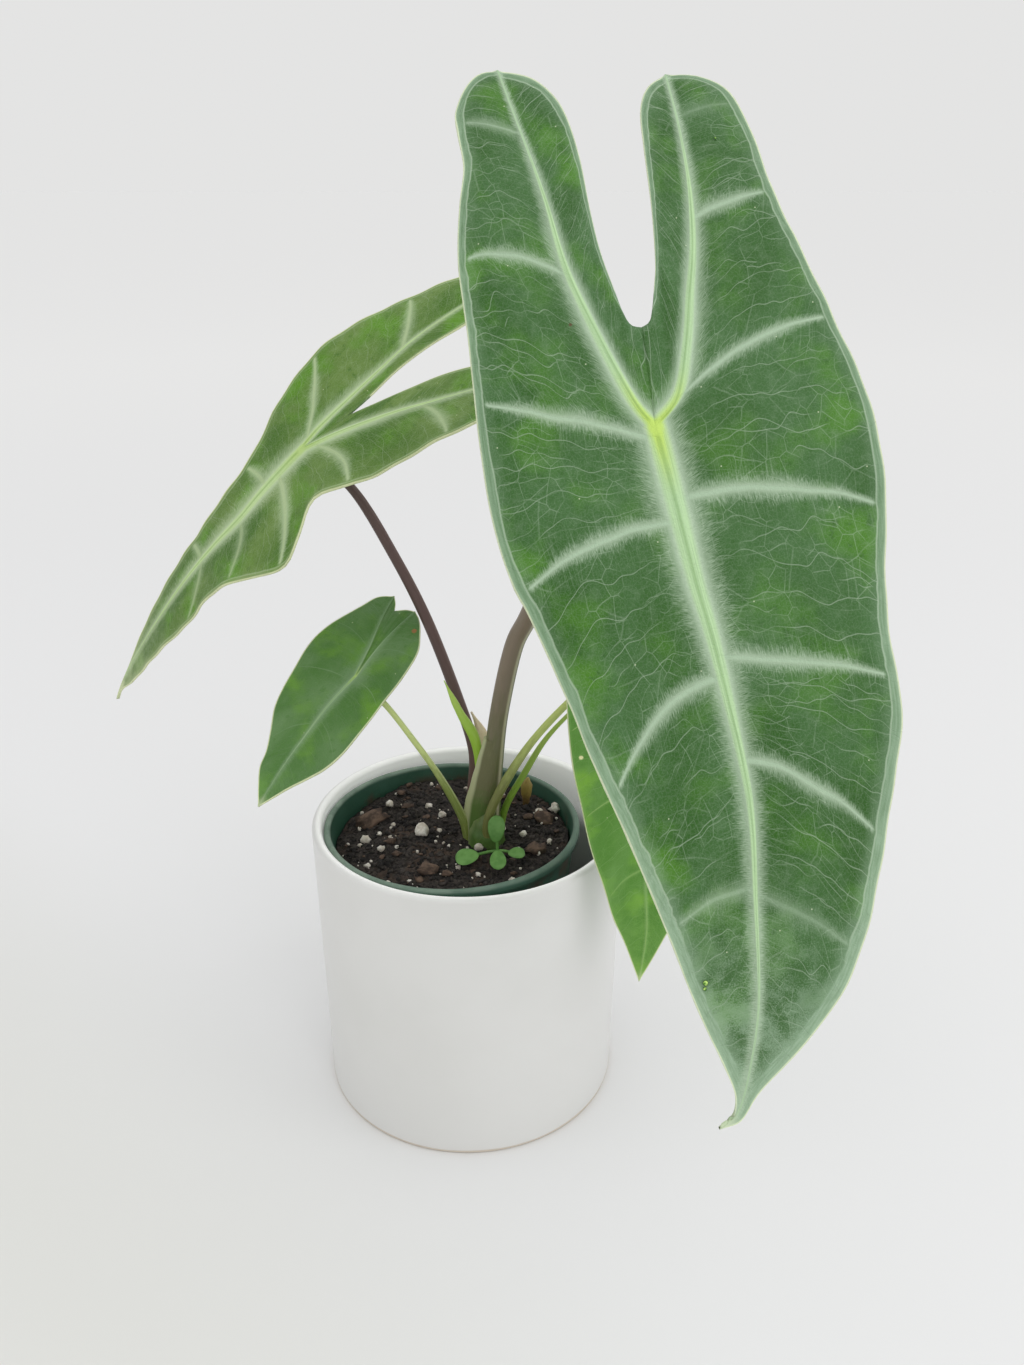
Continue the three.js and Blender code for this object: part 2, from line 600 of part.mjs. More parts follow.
// The short underground stem with its roots; the soil's hole is the same shape, a little larger
function crownSolid(extra) {
  const { x, y, top, radius, bottom } = CROWN;
  const reach = extra > 0 ? 8 : 0;
  const profile = [[0, bottom - extra], [radius * 0.55 + extra, bottom - extra],
    [radius + extra, bottom + 9], [radius + extra, top + reach], [0, top + reach]];
  let solid = toSolid(lathe(profile).translate(x, y, 0));
  for (let k = 0; k < ROOTS.count; k += 1) {
    const a = (2 * Math.PI * (k + 0.3)) / ROOTS.count;
    const out = new THREE.Vector2(Math.cos(a), Math.sin(a));
    const deep = ROOTS.deep + 5 * Math.sin(k * 2.1);
    const at = (r, z) => [x + out.x * r - (r * 5) / ROOTS.reach, y + out.y * r, z];
    const path = [at(2, bottom + 12), at(radius + 4, bottom + 4), at(ROOTS.reach * 0.85, bottom - 14),
      at(ROOTS.reach, deep - extra)];
    const size = [ROOTS.thick + extra, ROOTS.thick + extra, ROOTS.thin + extra];
    solid = solid.add(toSolid(stalkGeometry({ path, steps: 8, sides: 6 }, size)));
  }
  return solid;
}

// Seedling: a short stem with round leaves, fused in one body

function roundLeaf({ at, stand, along, length, width }) {
  const up = new THREE.Vector3(...stand).normalize();
  const ey = new THREE.Vector3(...along).addScaledVector(up,
    -new THREE.Vector3(...along).dot(up)).normalize();
  const ex = ey.clone().cross(up);
  const pad = new THREE.SphereGeometry(1, 12, 6);
  const place = new THREE.Matrix4().makeBasis(
    ex.multiplyScalar(width / 2),
    ey.multiplyScalar(length / 2),
    up.multiplyScalar(SEEDLING.leafThickness / 2),
  );
  place.setPosition(...at);
  return pad.applyMatrix4(place);
}

function seedlingGeometry() {
  const foot = SEEDLING.foot;
  let solid = null;
  SEEDLING.leaves.forEach((leaf) => {
    const clear = [foot[0], foot[1], SEEDLING.clear];
    const size = [SEEDLING.stem, SEEDLING.stem * 0.8];
    const stalk = toSolid(stalkGeometry({ path: [foot, clear, leaf.at], steps: 7, sides: 6 }, size));
    const joined = stalk.add(toSolid(roundLeaf(leaf)));
    solid = solid ? solid.add(joined) : joined;
  });
  return fromSolid(solid);
}

// Assembly

addPiece('cachepot', cachepotGeometry(), MATERIALS.glaze);
addPiece('nursery_pot', nurseryGeometry(), MATERIALS.pot);
addPiece('soil', soilGeometry(), MATERIALS.soil);
addPiece('corm', fromSolid(crownSolid(0)), MATERIALS.corm);

const LEAVES = [LARGE_LEAF, LEFT_LEAF, SMALL_LEAF, RIGHT_LEAF, scaledLeaf(RIGHT_LEAF, HIDDEN_LEAF)];
const LEAF_MATERIALS = [MATERIALS.darkLeaf, MATERIALS.paleLeaf, MATERIALS.darkLeaf, MATERIALS.darkLeaf,
  MATERIALS.paleLeaf];
LEAVES.forEach((leaf, i) => addPiece(leaf.name, bladeGeometry(leaf), LEAF_MATERIALS[i]));

const STALK_MATERIALS = [MATERIALS.mauve, MATERIALS.mauve, MATERIALS.fresh, MATERIALS.olive,
  MATERIALS.fresh];
STALKS.forEach((stalk, i) => addPiece(stalk.name, stalkGeometry(stalk, stalk.radii), STALK_MATERIALS[i]));

const SHOOT_MATERIALS = [MATERIALS.fresh, MATERIALS.dry, MATERIALS.dry];
SHOOTS.forEach((shoot, i) => addPiece(shoot.name, stalkGeometry(shoot, shoot.widths, shoot.flat),
  SHOOT_MATERIALS[i]));
addPiece('seedling', seedlingGeometry(), MATERIALS.fresh);

export default part;
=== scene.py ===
# %% [markdown]
# This notebook dresses a potted dragon tooth alocasia: one aroid with five arrow-shaped leaves,
# in a green nursery pot that stands in a white glazed outer pot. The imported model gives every
# place and size. Each step below replaces one of its plain solids by a finer piece of the same
# form, or adds what is too small for a solid, such as veins, grit and drops of water.

# %% The frame
import functools
import math
import random

import bmesh
import bpy
from mathutils import Euler, Matrix, Vector, noise


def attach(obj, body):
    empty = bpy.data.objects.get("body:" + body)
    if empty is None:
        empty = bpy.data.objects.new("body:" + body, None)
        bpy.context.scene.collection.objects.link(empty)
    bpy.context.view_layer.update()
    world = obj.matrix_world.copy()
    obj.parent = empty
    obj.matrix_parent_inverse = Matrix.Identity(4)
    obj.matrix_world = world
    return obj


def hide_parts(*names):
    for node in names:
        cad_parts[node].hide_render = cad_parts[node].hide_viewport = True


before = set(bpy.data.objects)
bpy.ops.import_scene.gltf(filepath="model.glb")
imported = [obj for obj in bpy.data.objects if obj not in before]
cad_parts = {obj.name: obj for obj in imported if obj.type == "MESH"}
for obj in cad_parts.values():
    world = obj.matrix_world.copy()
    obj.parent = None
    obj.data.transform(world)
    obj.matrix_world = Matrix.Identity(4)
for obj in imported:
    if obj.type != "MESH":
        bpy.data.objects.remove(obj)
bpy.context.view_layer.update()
MM = 0.001
print("frame nodes:", len(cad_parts))

# %% [markdown]
# The camera stands where the photographer stood. The pot's two ellipses and its known width
# give the distance, the height and the downward tilt, so the camera is set from those three
# instead of being moved by eye. The long side of the frame is the vertical one.

# %% Camera
PHOTO_TALL = 1365
FOCAL_PIXELS = 1150
SENSOR = 36
CAMERA_PLACE = Vector((17.1, -390.6, 338.1)) * MM
CAMERA_TILT_DOWN = 23.2

camera_data = bpy.data.cameras.new("camera")
camera_data.sensor_width = SENSOR
camera_data.lens = FOCAL_PIXELS / PHOTO_TALL * SENSOR
camera = bpy.data.objects.new("camera", camera_data)
camera.location = CAMERA_PLACE
camera.rotation_euler = (math.radians(90 - CAMERA_TILT_DOWN), 0, 0)
bpy.context.scene.collection.objects.link(camera)
bpy.context.scene.camera = camera
print("lens", round(camera_data.lens, 2), "mm")

# %% [markdown]
# The room and every finish below need the same few steps: add a node, set or wire its inputs, read
# its output. Writing each link by hand hides the idea of a material, so a small helper does it:
# an input that is given a socket is wired, and one that is given a number or a colour is set.


# %% Wiring helper
class Wiring:
    def __init__(self, tree):
        self.tree = tree

    def node(self, kind, inputs=None, **settings):
        made = self.tree.nodes.new(kind)
        for key, value in settings.items():
            setattr(made, key, value)
        for key, value in (inputs or {}).items():
            self.feed(made.inputs[key], value)
        return made

    def feed(self, socket, value):
        if isinstance(value, bpy.types.NodeSocket):
            self.tree.links.new(value, socket)
        else:
            socket.default_value = (*value, 1) if socket.type == "RGBA" else value

    def math(self, operation, a, b=0.0):
        return self.node("ShaderNodeMath", {0: a, 1: b}, operation=operation).outputs[0]

    def times(self, *values):
        return functools.reduce(lambda a, b: self.math("MULTIPLY", a, b), values)

    def add(self, *values):
        return functools.reduce(lambda a, b: self.math("ADD", a, b), values)

    def minus(self, a, b):
        return self.math("SUBTRACT", a, b)

    def most(self, *values):
        return functools.reduce(lambda a, b: self.math("MAXIMUM", a, b), values)

    def slope(self, value, low, high, start=0.0, end=1.0):
        inputs = {"Value": value, "From Min": low, "From Max": high, "To Min": start, "To Max": end}
        return self.node("ShaderNodeMapRange", inputs, interpolation_type="SMOOTHSTEP").outputs["Result"]

    def mix(self, share, a, b):
        made = self.node("ShaderNodeMix", data_type="RGBA")
        self.feed(made.inputs["Factor"], share)
        self.feed(made.inputs[6], a)
        self.feed(made.inputs[7], b)
        return made.outputs[2]

    def point(self, x=0.0, y=0.0, z=0.0):
        return self.node("ShaderNodeCombineXYZ", {"X": x, "Y": y, "Z": z}).outputs[0]

    def parts(self, vector):
        return self.node("ShaderNodeSeparateXYZ", {0: vector}).outputs[:3]

    def length(self, vector):
        return self.node("ShaderNodeVectorMath", {0: vector}, operation="LENGTH").outputs["Value"]

    def here(self):
        """The place in the object's own space, in metres."""
        return self.node("ShaderNodeTexCoord").outputs["Object"]

    def noise(self, vector, scale=1.0, detail=2.0, roughness=0.5):
        inputs = {"Vector": vector, "Scale": scale, "Detail": detail, "Roughness": roughness}
        return self.node("ShaderNodeTexNoise", inputs).outputs[0]

    def flat_cells(self, vector, scale=1.0, feature="F1"):
        inputs = {"Vector": vector, "Scale": scale}
        made = self.node("ShaderNodeTexVoronoi", inputs, feature=feature, voronoi_dimensions="2D")
        return made.outputs["Distance"]

    def bump(self, shader, height, distance, strength):
        inputs = {"Height": height, "Distance": distance, "Strength": strength}
        self.feed(shader.inputs["Normal"], self.node("ShaderNodeBump", inputs).outputs[0])


def new_group(name, inputs, outputs):
    tree = bpy.data.node_groups.new(name, "ShaderNodeTree")
    for label, kind, value in inputs:
        socket = tree.interface.new_socket(label, in_out="INPUT", socket_type="NodeSocket" + kind)
        if kind != "Vector":
            socket.default_value = (*value, 1) if kind == "Color" else value
    for label, kind in outputs:
        tree.interface.new_socket(label, in_out="OUTPUT", socket_type="NodeSocket" + kind)
    source = tree.nodes.new("NodeGroupInput")
    sink = tree.nodes.new("NodeGroupOutput")
    return tree, Wiring(tree), source.outputs, sink.inputs


def new_material(name, roughness, specular=0.5):
    made = bpy.data.materials.new(name)
    made.use_nodes = True
    wiring = Wiring(made.node_tree)
    shader = made.node_tree.nodes["Principled BSDF"]
    shader.inputs["Roughness"].default_value = roughness
    shader.inputs["Specular IOR Level"].default_value = specular
    return made, wiring, shader


def place_group(wiring, tree, inputs):
    made = wiring.node("ShaderNodeGroup", node_tree=tree)
    for key, value in inputs.items():
        wiring.feed(made.inputs[key], value)
    return made.outputs


def add_piece(name, bm, materials, replaces):
    mesh = bpy.data.meshes.new(name)
    bm.to_mesh(mesh)
    bm.free()
    for polygon in mesh.polygons:
        polygon.use_smooth = True
    for material in materials:
        mesh.materials.append(material)
    piece = bpy.data.objects.new(name, mesh)
    bpy.context.scene.collection.objects.link(piece)
    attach(piece, "root")
    if replaces:
        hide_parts(*replaces)
    print(name, len(mesh.polygons), "faces")
    return piece


# %% [markdown]
# The picture has hardly any shadow: a bright room wraps the plant in light. A pale world, lighter
# overhead than at the sides, gives that wrap. One broad weak lamp from the right makes that side
# of the pot and of the floor a little lighter, and a much fainter one stands at the left. The floor
# is a plain pale sheet with painted shade on it: a little darker around the pot, and darker and
# warmer before the pot at its left. Behind it the camera sees the world, so the world shows the
# camera the same grey as the lit floor, and no horizon line appears.

# %% Light and floor
ROOM_LIGHT = (1.0, 1.0, 1.005)
HORIZON_STRENGTH = 0.5
ZENITH_STRENGTH = 1.02
FLOOR_LIGHT = HORIZON_STRENGTH + (ZENITH_STRENGTH - HORIZON_STRENGTH) * 2 / 3
FLOOR_COLOR = (0.915, 0.915, 0.905)
# Painted shade on the floor: darker near the pot, and darker and warmer at its front left
SHADED_NEAR_FLOOR = (0.84, 0.842, 0.842)
SHADED_CORNER_FLOOR = (0.752, 0.755, 0.725)
FLOOR_SIZE = 400.0
BACKDROP = tuple(a * b * FLOOR_LIGHT for a, b in zip(ROOM_LIGHT, FLOOR_COLOR))
KEY_LAMP = {"place": (0.95, -1.05, 1.2), "aim": (0.02, -0.03, 0.2), "size": 2.4, "watts": 10.5}
FILL_LAMP = {"place": (-0.7, -0.6, 1.2), "aim": (0, 0, 0.25), "size": 1.2, "watts": 0.8}

bpy.context.scene.view_settings.view_transform = "Standard"
world = bpy.data.worlds.new("room")
bpy.context.scene.world = world
world.use_nodes = True
world.node_tree.nodes.clear()
sky = Wiring(world.node_tree)
upward = sky.parts(sky.node("ShaderNodeTexCoord").outputs["Generated"])[2]
strengths = {"Value": upward, "To Min": HORIZON_STRENGTH, "To Max": ZENITH_STRENGTH}
strength = sky.node("ShaderNodeMapRange", strengths).outputs["Result"]
room = sky.node("ShaderNodeBackground", {"Color": ROOM_LIGHT, "Strength": strength})
backdrop = sky.node("ShaderNodeBackground", {"Color": BACKDROP})
from_camera = sky.node("ShaderNodeLightPath").outputs["Is Camera Ray"]
seen = sky.node("ShaderNodeMixShader", {"Fac": from_camera, 1: room.outputs[0], 2: backdrop.outputs[0]})
sky.node("ShaderNodeOutputWorld", {"Surface": seen.outputs[0]})


def soft_lamp(name, place, aim, size, watts):
    data = bpy.data.lights.new(name, "AREA")
    data.shape = "DISK"
    data.size = size
    data.energy = watts
    lamp = bpy.data.objects.new(name, data)
    lamp.location = place
    lamp.rotation_euler = (Vector(aim) - Vector(place)).to_track_quat("-Z", "Y").to_euler()
    bpy.context.scene.collection.objects.link(lamp)


soft_lamp("key_lamp", **KEY_LAMP)
soft_lamp("fill_lamp", **FILL_LAMP)

# %% [markdown]
# A blade of this plant is an arrow head: a midrib runs from the stalk to the tip, and one strong
# vein runs back into each lobe. The flat outline could be cut out of a sheet, but then the grid
# would not follow the veins. Instead each half is a ladder of rungs that leave the main veins
# and end on the margin, so a rung is also the path of a side vein. The outlines are the same as
# the model's: points in millimetres, stalk at (0, 0), tip towards +y. A side vein is
# given by the y where it leaves the main vein, the y where it meets the margin, how much it
# sags, and how strong it shows.

# %% Leaf drawings
LARGE_LEAF = {
    "name": "blade_1", "slot": "large_blade", "junction": (51.2, -114.9, 285.9),
    "heading": -74, "dip": 60, "roll": -14, "fold": 0.12, "softness": 18, "droop": 2.2,
    "tip_bend": 1 / 620, "lobe_bend": 1 / 450, "quilt": 0.7, "ripple": 0.35, "step": 1.25,
    "midrib": [(0, 0), (-2, 18), (-4, 38), (-6, 52), (-9, 81), (-9.5, 95), (-8, 115), (-6, 139),
               (-2.6, 154), (1.6, 166), (7, 170.5)],
    "notch": (-0.5, -25.2),
    "sides": [
        {
            "lobe": [(0, 0), (4, -7), (10, -24), (15, -42), (17.5, -62), (20, -78), (22, -90), (24, -103)],
            "outer": [(7, 170.5), (3.4, 168), (2.2, 162.5), (4, 155), (9, 139), (14, 119), (20, 97),
                      (26, 77), (30, 61), (36, 41), (39, 33), (41.5, 18), (42, -2), (41.3, -28), (41, -49),
                      (38.8, -64), (36.4, -74), (36.6, -84), (36.4, -91), (33.5, -98), (29, -102.6),
                      (24, -103)],
            "inner": [(-0.5, -25.2), (1.9, -26.2), (3.3, -29.8), (4.5, -36), (6.2, -46), (7, -58),
                      (7.2, -72), (8.5, -85), (11, -93), (16, -99.5), (24, -103)],
            "waves": [(-100, 0), (-80, 1.5), (-55, -1.5), (-25, 1.2), (0, -1), (30, 1.6), (55, -1),
                      (85, 1.4), (120, 0), (170, 0)],
            "veins": [(110, 120, 0.06, 0.45), (61, 88, 0.16, 1), (23, 36, 0.08, 1), (2, -12, 0.0, 1),
                      (-40, -49, 0.15, 0.9), (-82, -87, 0.1, 0.5)],
        },
        {
            "lobe": [(0, 0), (-6, -6), (-10, -18), (-13, -31), (-16, -44), (-18, -60), (-18.5, -78),
                     (-18, -94.5)],
            "outer": [(7, 170.5), (1.6, 169.4), (-3.4, 163), (-11, 156), (-23, 144), (-32, 130),
                      (-39, 112), (-44, 93), (-48, 75), (-48.2, 58), (-50, 40), (-52, 24), (-52.4, 6),
                      (-51, -8), (-46.5, -25), (-41, -43), (-38.6, -56), (-37.8, -68), (-35.8, -80),
                      (-32, -88.5), (-26, -93.2), (-18, -94.5)],
            "inner": [(-0.5, -25.2), (-2.7, -26.4), (-4.1, -30.4), (-5.4, -36), (-6.6, -42), (-8, -56),
                      (-9, -74), (-10, -85), (-13, -91.5), (-18, -94.5)],
            "waves": [(-90, 0), (-70, -1.5), (-45, 1.5), (-15, -1.2), (15, 1.5), (45, -1.8), (75, 1.5),
                      (110, -1.5), (140, 0.5), (170, 0)],
            "veins": [(112, 132, 0.06, 0.3), (80, 106, 0.12, 1), (54, 67, 0.02, 1), (17, 26, 0.06, 1),
                      (-5, -22, 0.1, 1), (-51, -57, 0.05, 0.9), (-80, -83, 0.05, 0.2)],
        },
    ],
}

LEFT_LEAF = {
    "name": "blade_2", "slot": "left_blade", "junction": (-55.9, 8.9, 254.9),
    "heading": -180, "dip": 40, "roll": 40, "fold": 0.12, "softness": 10, "droop": 0,
    "tip_bend": 1 / 250, "lobe_bend": 1 / 200, "quilt": 0.5, "ripple": 0.25, "step": 1.25,
    "midrib": [(0, 0), (-2, 22), (-3, 34), (-2, 48), (-1, 62), (1, 91), (3.5, 112), (7.4, 136),
               (8.4, 147)],
    "notch": (-1.5, -20),
    "sides": [
        {
            "lobe": [(0, 0), (2, -9), (4, -23), (7, -38), (10, -50), (12, -62), (14, -76), (16, -93)],
            "outer": [(8.4, 147), (8, 139), (6.8, 124), (7, 109), (8, 86), (10, 63), (10, 46), (10.5, 34),
                      (14, 21), (20, 9), (24, 0), (27, -13), (30, -27), (31, -45), (30, -61), (28, -75),
                      (25, -86), (21, -92), (16, -93)],
            "inner": [(-1.5, -20), (0, -31), (3, -43), (5, -57), (6, -71), (8.5, -84), (12, -91),
                      (16, -93)],
            "waves": [(-93, 0), (-60, -2), (-20, 1.5), (10, -1), (35, 1), (60, -1), (90, 0), (147, 0)],
            "veins": [(57, 61, 0.1, 0.7), (17, 24, 0.1, 0.8), (-2, -20, 0.05, 0.9), (-48, -59, 0.05, 0.8)],
        },
        {
            "lobe": [(0, 0), (-4, -11), (-9, -23), (-15, -37), (-20, -48), (-25, -61), (-28, -71),
                     (-30, -82)],
            "outer": [(8.4, 147), (6.6, 139), (-1, 124), (-10, 97), (-15.5, 77), (-17, 65), (-21, 53),
                      (-27, 42), (-34, 30), (-35, 22), (-31, 14), (-27, 7), (-26, 0), (-30, -10),
                      (-34.5, -26), (-38, -40), (-41, -54), (-41, -66), (-37.5, -76), (-30, -82)],
            "inner": [(-1.5, -20), (-5, -32), (-8, -44), (-10.5, -55), (-14, -65), (-19, -74),
                      (-24, -80), (-30, -82)],
            "waves": [(-82, 0), (-50, 2), (-20, -1.5), (0, 2), (25, -3), (50, 1), (75, -1), (100, 0),
                      (147, 0)],
            "veins": [(57, 78, 0.12, 0.5), (33, 48, 0.12, 0.5), (11, 28, 0.12, 0.9), (-3, -9, 0.15, 0.8),
                      (-44, -45, 0.1, 0.7)],
        },
    ],
}

SMALL_LEAF = {
    "name": "blade_3", "slot": "small_blade", "junction": (-39.9, -3.8, 174.5),
    "heading": -131, "dip": 35, "roll": 20, "fold": 0.12, "softness": 6, "droop": 0,
    "tip_bend": 1 / 250, "lobe_bend": 1 / 250, "quilt": 0.25, "ripple": 0.12, "step": 0.9,
    "midrib": [(0, 0), (1, 7), (2, 16), (2.5, 29), (3, 41), (3, 58)],
    "notch": (4.6, -30.5),
    "sides": [
        {
            "lobe": [(0, 0), (2.6, -12), (6, -24), (8.5, -36)],
            "outer": [(3, 58), (7, 52), (10.5, 46), (12, 40), (15, 33), (19, 25), (20.5, 17), (21.2, 8),
                      (22, -3), (21, -10), (19, -17), (16, -25), (13.5, -32), (8.5, -36)],
            "inner": [(4.6, -30.5), (6.2, -33.5), (8.5, -36)],
            "waves": [(-36, 0), (0, 1), (25, -1), (58, 0)],
            "veins": [(22, 36, 0.1, 0.4), (2, 9, 0.1, 0.6), (-12, -14, 0.1, 0.4)],
        },
        {
            "lobe": [(0, 0), (0.2, -12), (-0.6, -24), (-2.2, -34.5)],
            "outer": [(3, 58), (-3, 48), (-8, 41), (-12, 35), (-14.3, 28), (-15.2, 18), (-15.2, 3),
                      (-15.4, -10), (-14, -20), (-10, -27), (-6, -32), (-2.2, -34.5)],
            "inner": [(4.6, -30.5), (1.2, -33.4), (-2.2, -34.5)],
            "waves": [(-34, 0), (0, -1), (30, 1), (58, 0)],
            "veins": [(20, 32, 0.1, 0.4), (1, 8, 0.1, 0.6), (-13, -17, 0.1, 0.4)],
        },
    ],
}

RIGHT_LEAF = {
    "name": "blade_4", "slot": "right_blade", "junction": (63.3, -33.8, 193.4),
    "heading": -92, "dip": 77, "roll": 0, "fold": 0.12, "softness": 10, "droop": 1.5,
    "tip_bend": 1 / 1000, "lobe_bend": 1 / 150, "quilt": 0.5, "ripple": 0.3, "step": 1.25,
    "midrib": [(0, 0), (-1, 21), (-1, 49), (-1, 78), (-2, 98), (0, 118)],
    "notch": (0, -14),
    "sides": [
        {
            "lobe": [(0, 0), (3, -8), (6, -20), (9, -33), (12, -48), (13, -60)],
            "outer": [(0, 118), (3, 110), (6, 102), (10, 93), (14, 80), (18.5, 67), (22, 52), (25, 39),
                      (27, 24), (28, 8), (28, -10), (27, -25), (25.5, -40), (22.5, -52), (18.5, -58.5),
                      (13, -60)],
            "inner": [(0, -14), (2.4, -24), (4, -36), (5.4, -47), (8.6, -56), (13, -60)],
            "waves": [(-60, 0), (-30, 1.5), (0, -1.5), (25, 1.5), (55, -1.5), (85, 0.5), (118, 0)],
            "veins": [(72, 86, 0.1, 0.5), (42, 58, 0.1, 0.8), (14, 26, 0.1, 0.9), (-1, -10, 0.05, 0.9),
                      (-30, -38, 0.1, 0.6)],
        },
        {
            "lobe": [(0, 0), (-3, -8), (-6, -20), (-9, -33), (-12, -46), (-13.5, -57)],
            "outer": [(0, 118), (-4, 110), (-9, 99), (-14, 88), (-19, 74), (-23.5, 61), (-27, 46),
                      (-29, 30), (-29.5, 12), (-29, -6), (-28, -22), (-26, -36), (-23, -48), (-19, -55),
                      (-13.5, -57)],
            "inner": [(0, -14), (-2.6, -24), (-4.4, -36), (-6, -47), (-9, -54), (-13.5, -57)],
            "waves": [(-57, 0), (-25, -1.5), (10, 1.5), (40, -1.5), (75, 1), (118, 0)],
            "veins": [(68, 84, 0.1, 0.5), (36, 52, 0.1, 0.8), (9, 20, 0.1, 0.9), (-2, -12, 0.05, 0.9),
                      (-32, -38, 0.1, 0.6)],
        },
    ],
}

HIDDEN_SCALE = 0.5
print("leaves drawn")

# %% [markdown]
# The hidden leaf is a young one behind the large leaf. It is drawn like the right leaf at half
# the size, so its drawing is made by a rule. The other helpers walk along a drawn line: a line
# through few points is smoothed by a Catmull-Rom curve and measured, so that a share of its
# length can be looked up.


# %% Line helpers
def smaller(pairs):
    return [(x * HIDDEN_SCALE, y * HIDDEN_SCALE) for x, y in pairs]


HIDDEN_LEAF = dict(
    RIGHT_LEAF, name="blade_5", slot="hidden_blade", junction=(83.7, 16.7, 197), heading=-10, dip=50,
    roll=0, tip_bend=RIGHT_LEAF["tip_bend"] / HIDDEN_SCALE, lobe_bend=RIGHT_LEAF["lobe_bend"] / HIDDEN_SCALE,
    softness=RIGHT_LEAF["softness"] * HIDDEN_SCALE, droop=RIGHT_LEAF["droop"] / HIDDEN_SCALE,
    quilt=0.25, ripple=0.15, step=1.0, midrib=smaller(RIGHT_LEAF["midrib"]),
    notch=smaller([RIGHT_LEAF["notch"]])[0],
    sides=[
        dict(
            lobe=smaller(side["lobe"]), outer=smaller(side["outer"]), inner=smaller(side["inner"]),
            waves=smaller(side["waves"]),
            veins=[(a * HIDDEN_SCALE, b * HIDDEN_SCALE, sag, show) for a, b, sag, show in side["veins"]],
        )
        for side in RIGHT_LEAF["sides"]
    ],
)


class Line:
    """A smooth line through drawn points, measured along its length."""

    def __init__(self, points, closeness=12):
        self.points = []
        last = len(points) - 1
        for k in range(last):
            p0, p1, p2, p3 = (Vector(points[max(0, min(last, k + d))]) for d in (-1, 0, 1, 2))
            for m in range(closeness):
                t = m / closeness
                a, b = (p2 - p0) * 0.5, (p3 - p1) * 0.5
                cubic = 2 * t**3 - 3 * t**2 + 1
                self.points.append(
                    p1 * cubic + a * (t**3 - 2 * t**2 + t) + p2 * (1 - cubic) + b * (t**3 - t**2)
                )
        self.points.append(Vector(points[-1]))
        self.lengths = [0.0]
        for a, b in zip(self.points, self.points[1:]):
            self.lengths.append(self.lengths[-1] + (b - a).length)
        self.total = self.lengths[-1]

    def at(self, share):
        target = max(0.0, min(1.0, share)) * self.total
        low, high = 0, len(self.lengths) - 1
        while high - low > 1:
            middle = (low + high) // 2
            if self.lengths[middle] < target:
                low = middle
            else:
                high = middle
        span = self.lengths[high] - self.lengths[low]
        return self.points[low].lerp(self.points[high], (target - self.lengths[low]) / (span or 1))

    def share_at_y(self, y):
        rising = self.points[-1].y > self.points[0].y
        for k, p in enumerate(self.points):
            if (p.y >= y) if rising else (p.y <= y):
                return self.lengths[k] / self.total
        return 1.0


def soft_read(pairs, key):
    if key <= pairs[0][0]:
        return pairs[0][1]
    for (a, low), (b, high) in zip(pairs, pairs[1:]):
        if key <= b:
            t = (key - a) / (b - a)
            return low + (high - low) * t * t * (3 - 2 * t)
    return pairs[-1][1]


def straight_read(pairs, key):
    for (a, low), (b, high) in zip(pairs, pairs[1:]):
        if key <= b:
            return low + (high - low) * (key - a) / ((b - a) or 1)
    return pairs[-1][1]


# %% [markdown]
# The flat drawing becomes a leaf in space in three moves: a trough along the midrib, a slow bend
# along the leaf, and a turn to where the leaf hangs. The same formula shaped the model's solid,
# so the finer blade lies on it.


# %% From the drawing to space
def leaf_axes(leaf):
    h, d, r = (math.radians(leaf[key]) for key in ("heading", "dip", "roll"))
    ey = Vector((math.cos(d) * math.cos(h), math.cos(d) * math.sin(h), -math.sin(d)))
    up = Vector((math.sin(d) * math.cos(h), math.sin(d) * math.sin(h), math.cos(d)))
    side = ey.cross(up)
    return side * math.cos(r) + up * math.sin(r), ey, up * math.cos(r) - side * math.sin(r)


def place_on_leaf(leaf, axes, x, y, lift):
    ex, ey, ez = axes
    trough = leaf["fold"] * (math.hypot(x, leaf["softness"]) - leaf["softness"])
    z = trough - leaf["droop"] * x * x / 1000 + lift
    bend = leaf["tip_bend"] if y > 0 else leaf["lobe_bend"]
    turn = bend * y
    along = math.sin(turn) / bend + math.sin(turn) * z
    height = math.cos(turn) * z - (1 - math.cos(turn)) / bend
    return (Vector(leaf["junction"]) + ex * x + ey * along + ez * height) * MM


# %% [markdown]
# One half of a blade has two ladders: the outer one from the tip round to the lobe's end, and the
# inner one between the lobe's vein and the notch. Each starts as a flat grid from Blender's grid
# operator, and every point of the grid is then moved to its rung. The side veins pull the rungs
# with them, because the margin's share for each rung is read between the veins' own ends. Along
# the way five small UV maps keep what the finish needs to know at each corner: the run along the
# main vein and the distance from it, the count of side veins and the run along them, the gap
# between them and the distance from the margin, how strong the nearest one shows and how far
# out on its rung the corner is, and the place in the flat drawing.

# %% Blade mesh
BLADE_THICKNESS = 0.8
RIPPLE_LENGTH = 15.0
CALM_WIDTH = 12.0
LOBE_REACH = 0.75
VEIN_HALF, VEIN_GROWTH = 0.5, 1.4
TOP_RIDGE, TOP_GROWTH, TOP_GROOVE = 0.25, 0.2, 0.12
UNDER_RIDGE, UNDER_GROWTH, UNDER_SIDE_RIDGE = 0.3, 0.9, 0.3
QUILT_WIDTH = 5
CLEAR_OF_VEIN = 6
NOTCH_GAP = 3.0
INNER_GAP = 20
INNER_VEIN_STEP = 22
INNER_START = 10.5
HALF_SHIFT = 20
WIDEST_SHARE = 0.72
UV_NAMES = ("vein_run", "side_veins", "gap_edge", "strength", "flat")


def bell(distance, width):
    return math.exp(-((distance / width) ** 2))


def swell(distance, width):
    return 1 - bell(distance, width)


